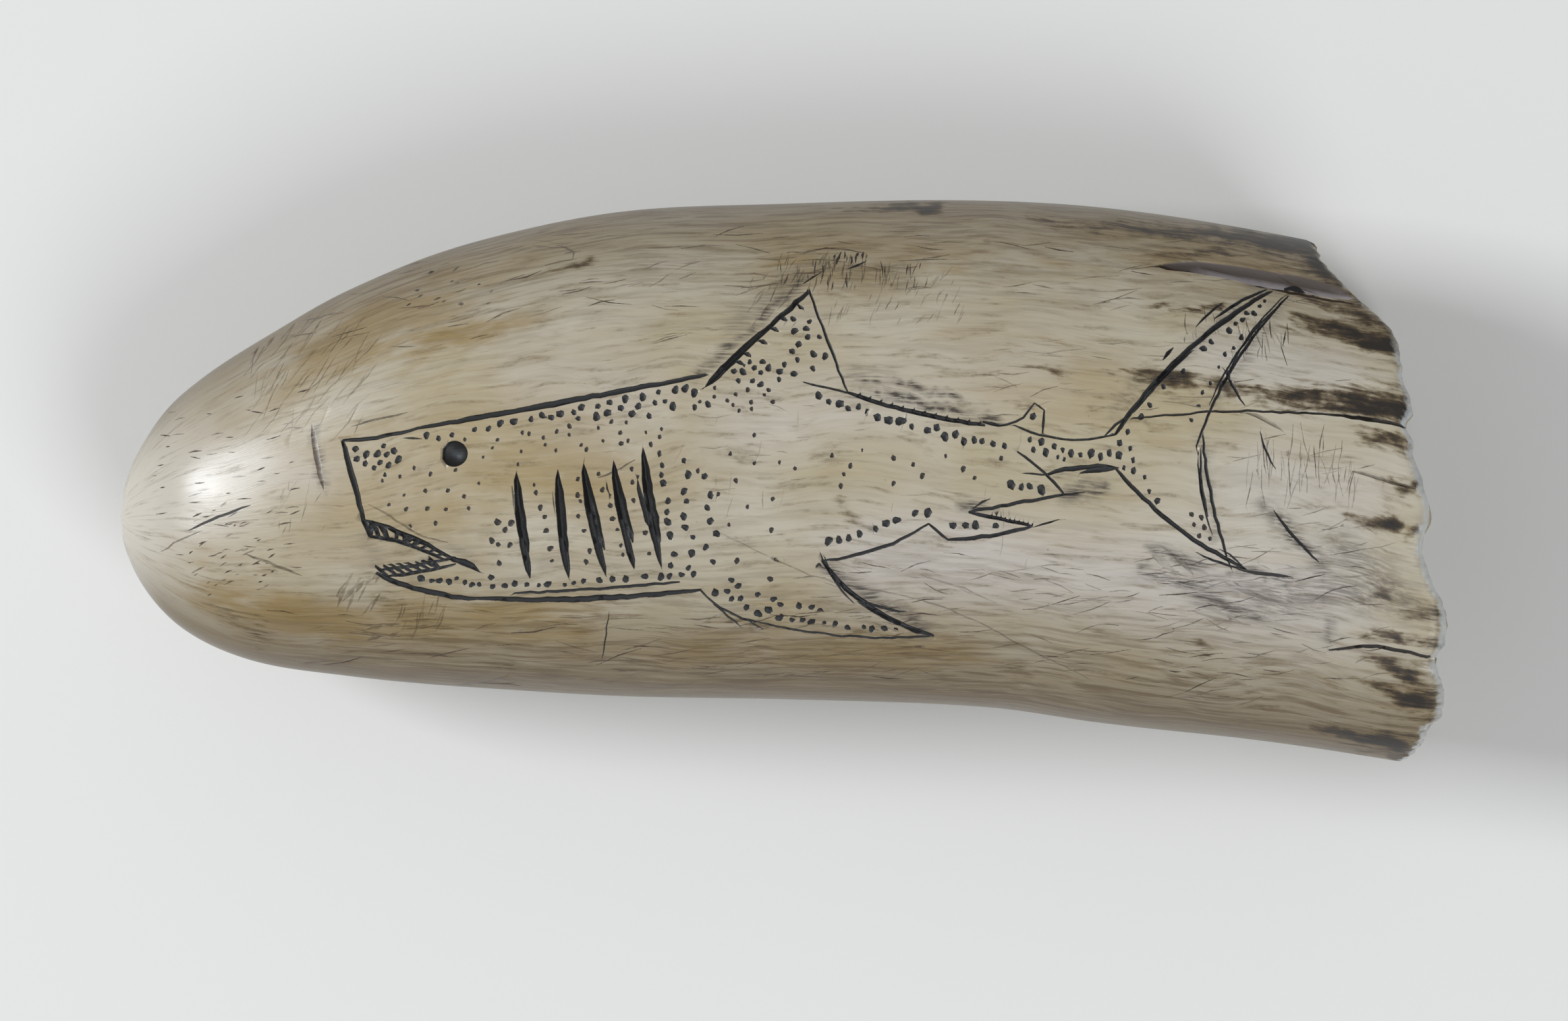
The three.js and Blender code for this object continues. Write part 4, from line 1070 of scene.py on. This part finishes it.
for name, factors in {
    "clouds": [pattern["clouds"], field["grain"]],
    "patina_and_edge_shade": [field["patina_and_edge_shade"], 1.0],
    "ochre": [field["ochre"], pattern["ochre_clouds"], 1.3],
    "pale_and_sheen": [field["pale_and_sheen"], 0.95],
    "bands": [field["grain"], pattern["bands"]],
    "fibres": [field["grain"], pattern["fibres"]],
    "pale_fibres": [field["grain"], pattern["pale_fibres"]],
    "streaks": [field["grain"], field["patina_and_edge_shade"], pattern["streaks"], 0.9],
    "hairs": [field["patina_and_edge_shade"], field["grain"], pattern["hairs"], pattern["hairs_here"]],
    "haze": [field["haze"], pattern["smears"]],
    "gouge_dirt_and_shade": [field["gouge_dirt_and_shade"], 0.95],
    "mark": [share["mark"], field["mark_ink"], pattern["wear"]],
}.items():
    share[name] = factors[0]
    for factor in factors[1:]:
        share[name] = node("Math", {0: share[name], 1: factor}, operation="MULTIPLY", use_clamp=True)

# The small mixtures: each is one colour or earlier mixture going over to another by a share.
mixture = {}
for name, amount, under, over in [
    # pale edge with its painted highlight, going olive at the stained corner
    ("rim", share["corner"], RIM_PALE_AND_HIGHLIGHT, RIM_OLIVE),
    ("scratch", field["mark_brown"], PIGMENT, SCRATCH_BROWN),
    ("ink", field["ink_brown"], PIGMENT, SCRATCH_BROWN),
    # the gouge goes from its pale lilac floor to painted shade and brown dirt on its upper wall
    ("gouge", share["gouge_dirt_and_shade"], GOUGE_LILAC, GOUGE_DIRT_AND_SHADE_BROWN),
    ("wall", pattern["hollow_clouds"], BROKEN_WALL, WALL_DIRT),
    ("hollow_skin", pattern["hollow_clouds"], HOLLOW_BROWN, OCHRE),
    # the hollow's skin darkens to black painted shade towards its blind end
    ("painted_shade_depths", share["painted_shade_depths"], "hollow_skin", STAIN_AND_SHADE_BLACK),
    ("hollow", share["wall"], "wall", "painted_shade_depths"),
]:
    colours = {0: amount, 6: mixture.get(under, under), 7: mixture.get(over, over)}
    mixture[name] = node("Mix", colours, 2, data_type="RGBA")

# The layers of colour, from the ivory itself up to the pigment.
colour = IVORY_WHITE
for amount, over in [
    (share["clouds"], IVORY_CREAM),
    (share["ochre"], OCHRE),
    # pale clouds, partly painted sheen on the tip and low on the engraved face
    (share["pale_and_sheen"], PALE_AND_SHEEN_WHITE),
    # the rounded edges are browner, partly from age and partly as painted shade, most on the lower edge
    (share["patina_and_edge_shade"], PATINA_AND_SHADE_BROWN),
    (share["bands"], OCHRE),
    (share["fibres"], PATINA_AND_SHADE_BROWN),
    (share["pale_fibres"], IVORY_WHITE),
    (share["streaks"], GRAIN_BROWN),
    (share["hairs"], GRAIN_BROWN),
    (pattern["flecks"], GRAIN_BROWN),
    (share["stain_halo"], STAIN_OLIVE),
    (share["stain"], STAIN_BROWN),
    (share["stain_core"], STAIN_AND_SHADE_BLACK),
    (share["haze"], SMUDGE),
    (share["rim"], mixture["rim"]),
    (share["gouge"], mixture["gouge"]),
    (share["mark"], mixture["scratch"]),
    (share["ink"], mixture["ink"]),
    # painted highlight in the eye's middle
    (share["eye"], EYE_HIGHLIGHT_GREY),
    (share["hollow"], mixture["hollow"]),
]:
    colour = node("Mix", {0: amount, 6: colour, 7: over}, 2, data_type="RGBA")
tree.links.new(colour, shader.inputs["Base Color"])

# Polished ivory is satin, and glossiest on the tip, where no scrape marks are left. The pigment is duller,
# and the broken wall and the hollow are matt.
relief = node("Math", {0: pattern["scrape_marks"], 1: field["grain"]}, operation="MULTIPLY")
roughness = node("Math", {0: relief, 1: SCRAPE_ROUGHNESS, 2: POLISH_ROUGHNESS}, operation="MULTIPLY_ADD")
for amount, duller in [
    (share["ink"], 0.55), (share["gouge"], 0.5), (share["stain"], 0.5), (share["hollow"], 0.85),
]:
    roughness = node("Mix", {0: amount, 2: roughness, 3: duller}, data_type="FLOAT")
tree.links.new(roughness, shader.inputs["Roughness"])
shader.inputs["IOR"].default_value = IVORY_IOR
bump = node("Bump", {"Height": relief, "Strength": 0.2, "Distance": SCRAPE_DEPTH})
tree.links.new(bump, shader.inputs["Normal"])
mesh.materials.append(ivory)

# The studio: a sheet of pale paper under an even sky, a window beyond the tip, which gives the tip its
# gloss, a weak reflector on the other side, and the camera straight above the tooth, at the photograph's
# distance.
FLOOR_WHITE = "#E9E7E3"
FLOOR_SIZE = 3
SKY = "#F1F3F6"
SKY_STRENGTH = 0.37
CAMERA_HEIGHT = 1060
OPTICAL_CENTRE = (0, -3.3)
FIELD_WIDTH = 180.2  # of the picture, at the level of the tooth's middle
SENSOR = 36
DAYLIGHT = (0.91, 0.955, 1)  # a little bluer than the paper

corners = np.array([(-1, -1, 0), (1, -1, 0), (1, 1, 0), (-1, 1, 0)]) * FLOOR_SIZE / 2
floor_mesh = bpy.data.meshes.new("floor")
floor_mesh.from_pydata(corners.tolist(), [], [(0, 1, 2, 3)])
floor = bpy.data.objects.new("floor", floor_mesh)
bpy.context.scene.collection.objects.link(floor)
paper = bpy.data.materials.new("matt_paper")
paper.use_nodes = True
paper_shader = paper.node_tree.nodes["Principled BSDF"]
paper_shader.inputs["Base Color"].default_value = linear(FLOOR_WHITE)
paper_shader.inputs["Roughness"].default_value = 0.9
paper_shader.inputs["Specular IOR Level"].default_value = 0.2
floor_mesh.materials.append(paper)

for name, spot, size, power in [
    ("window", (-1.56, 0.32, 1.28), 0.65, 28),
    ("reflector", (0.5, -0.8, 1.2), 0.7, 8),
]:
    light = bpy.data.lights.new(name, "AREA")
    light.size, light.energy, light.color = size, power, DAYLIGHT
    lamp = bpy.data.objects.new(name, light)
    bpy.context.scene.collection.objects.link(lamp)
    lamp.location = spot
    lamp.rotation_euler = (-lamp.location).to_track_quat("-Z", "Y").to_euler()
world = bpy.data.worlds.new("studio")
world.use_nodes = True
world.node_tree.nodes["Background"].inputs["Color"].default_value = linear(SKY)
world.node_tree.nodes["Background"].inputs["Strength"].default_value = SKY_STRENGTH
bpy.context.scene.world = world

camera_data = bpy.data.cameras.new("camera")
camera_data.sensor_width = SENSOR
camera_data.lens = SENSOR * (CAMERA_HEIGHT - MIDDLE_HEIGHT) / FIELD_WIDTH
camera = bpy.data.objects.new("camera", camera_data)
camera.location = 0.001 * np.array([*(OPTICAL_CENTRE + shift), CAMERA_HEIGHT])
bpy.context.scene.collection.objects.link(camera)
bpy.context.scene.camera = camera
bpy.context.scene.view_settings.view_transform = "Standard"
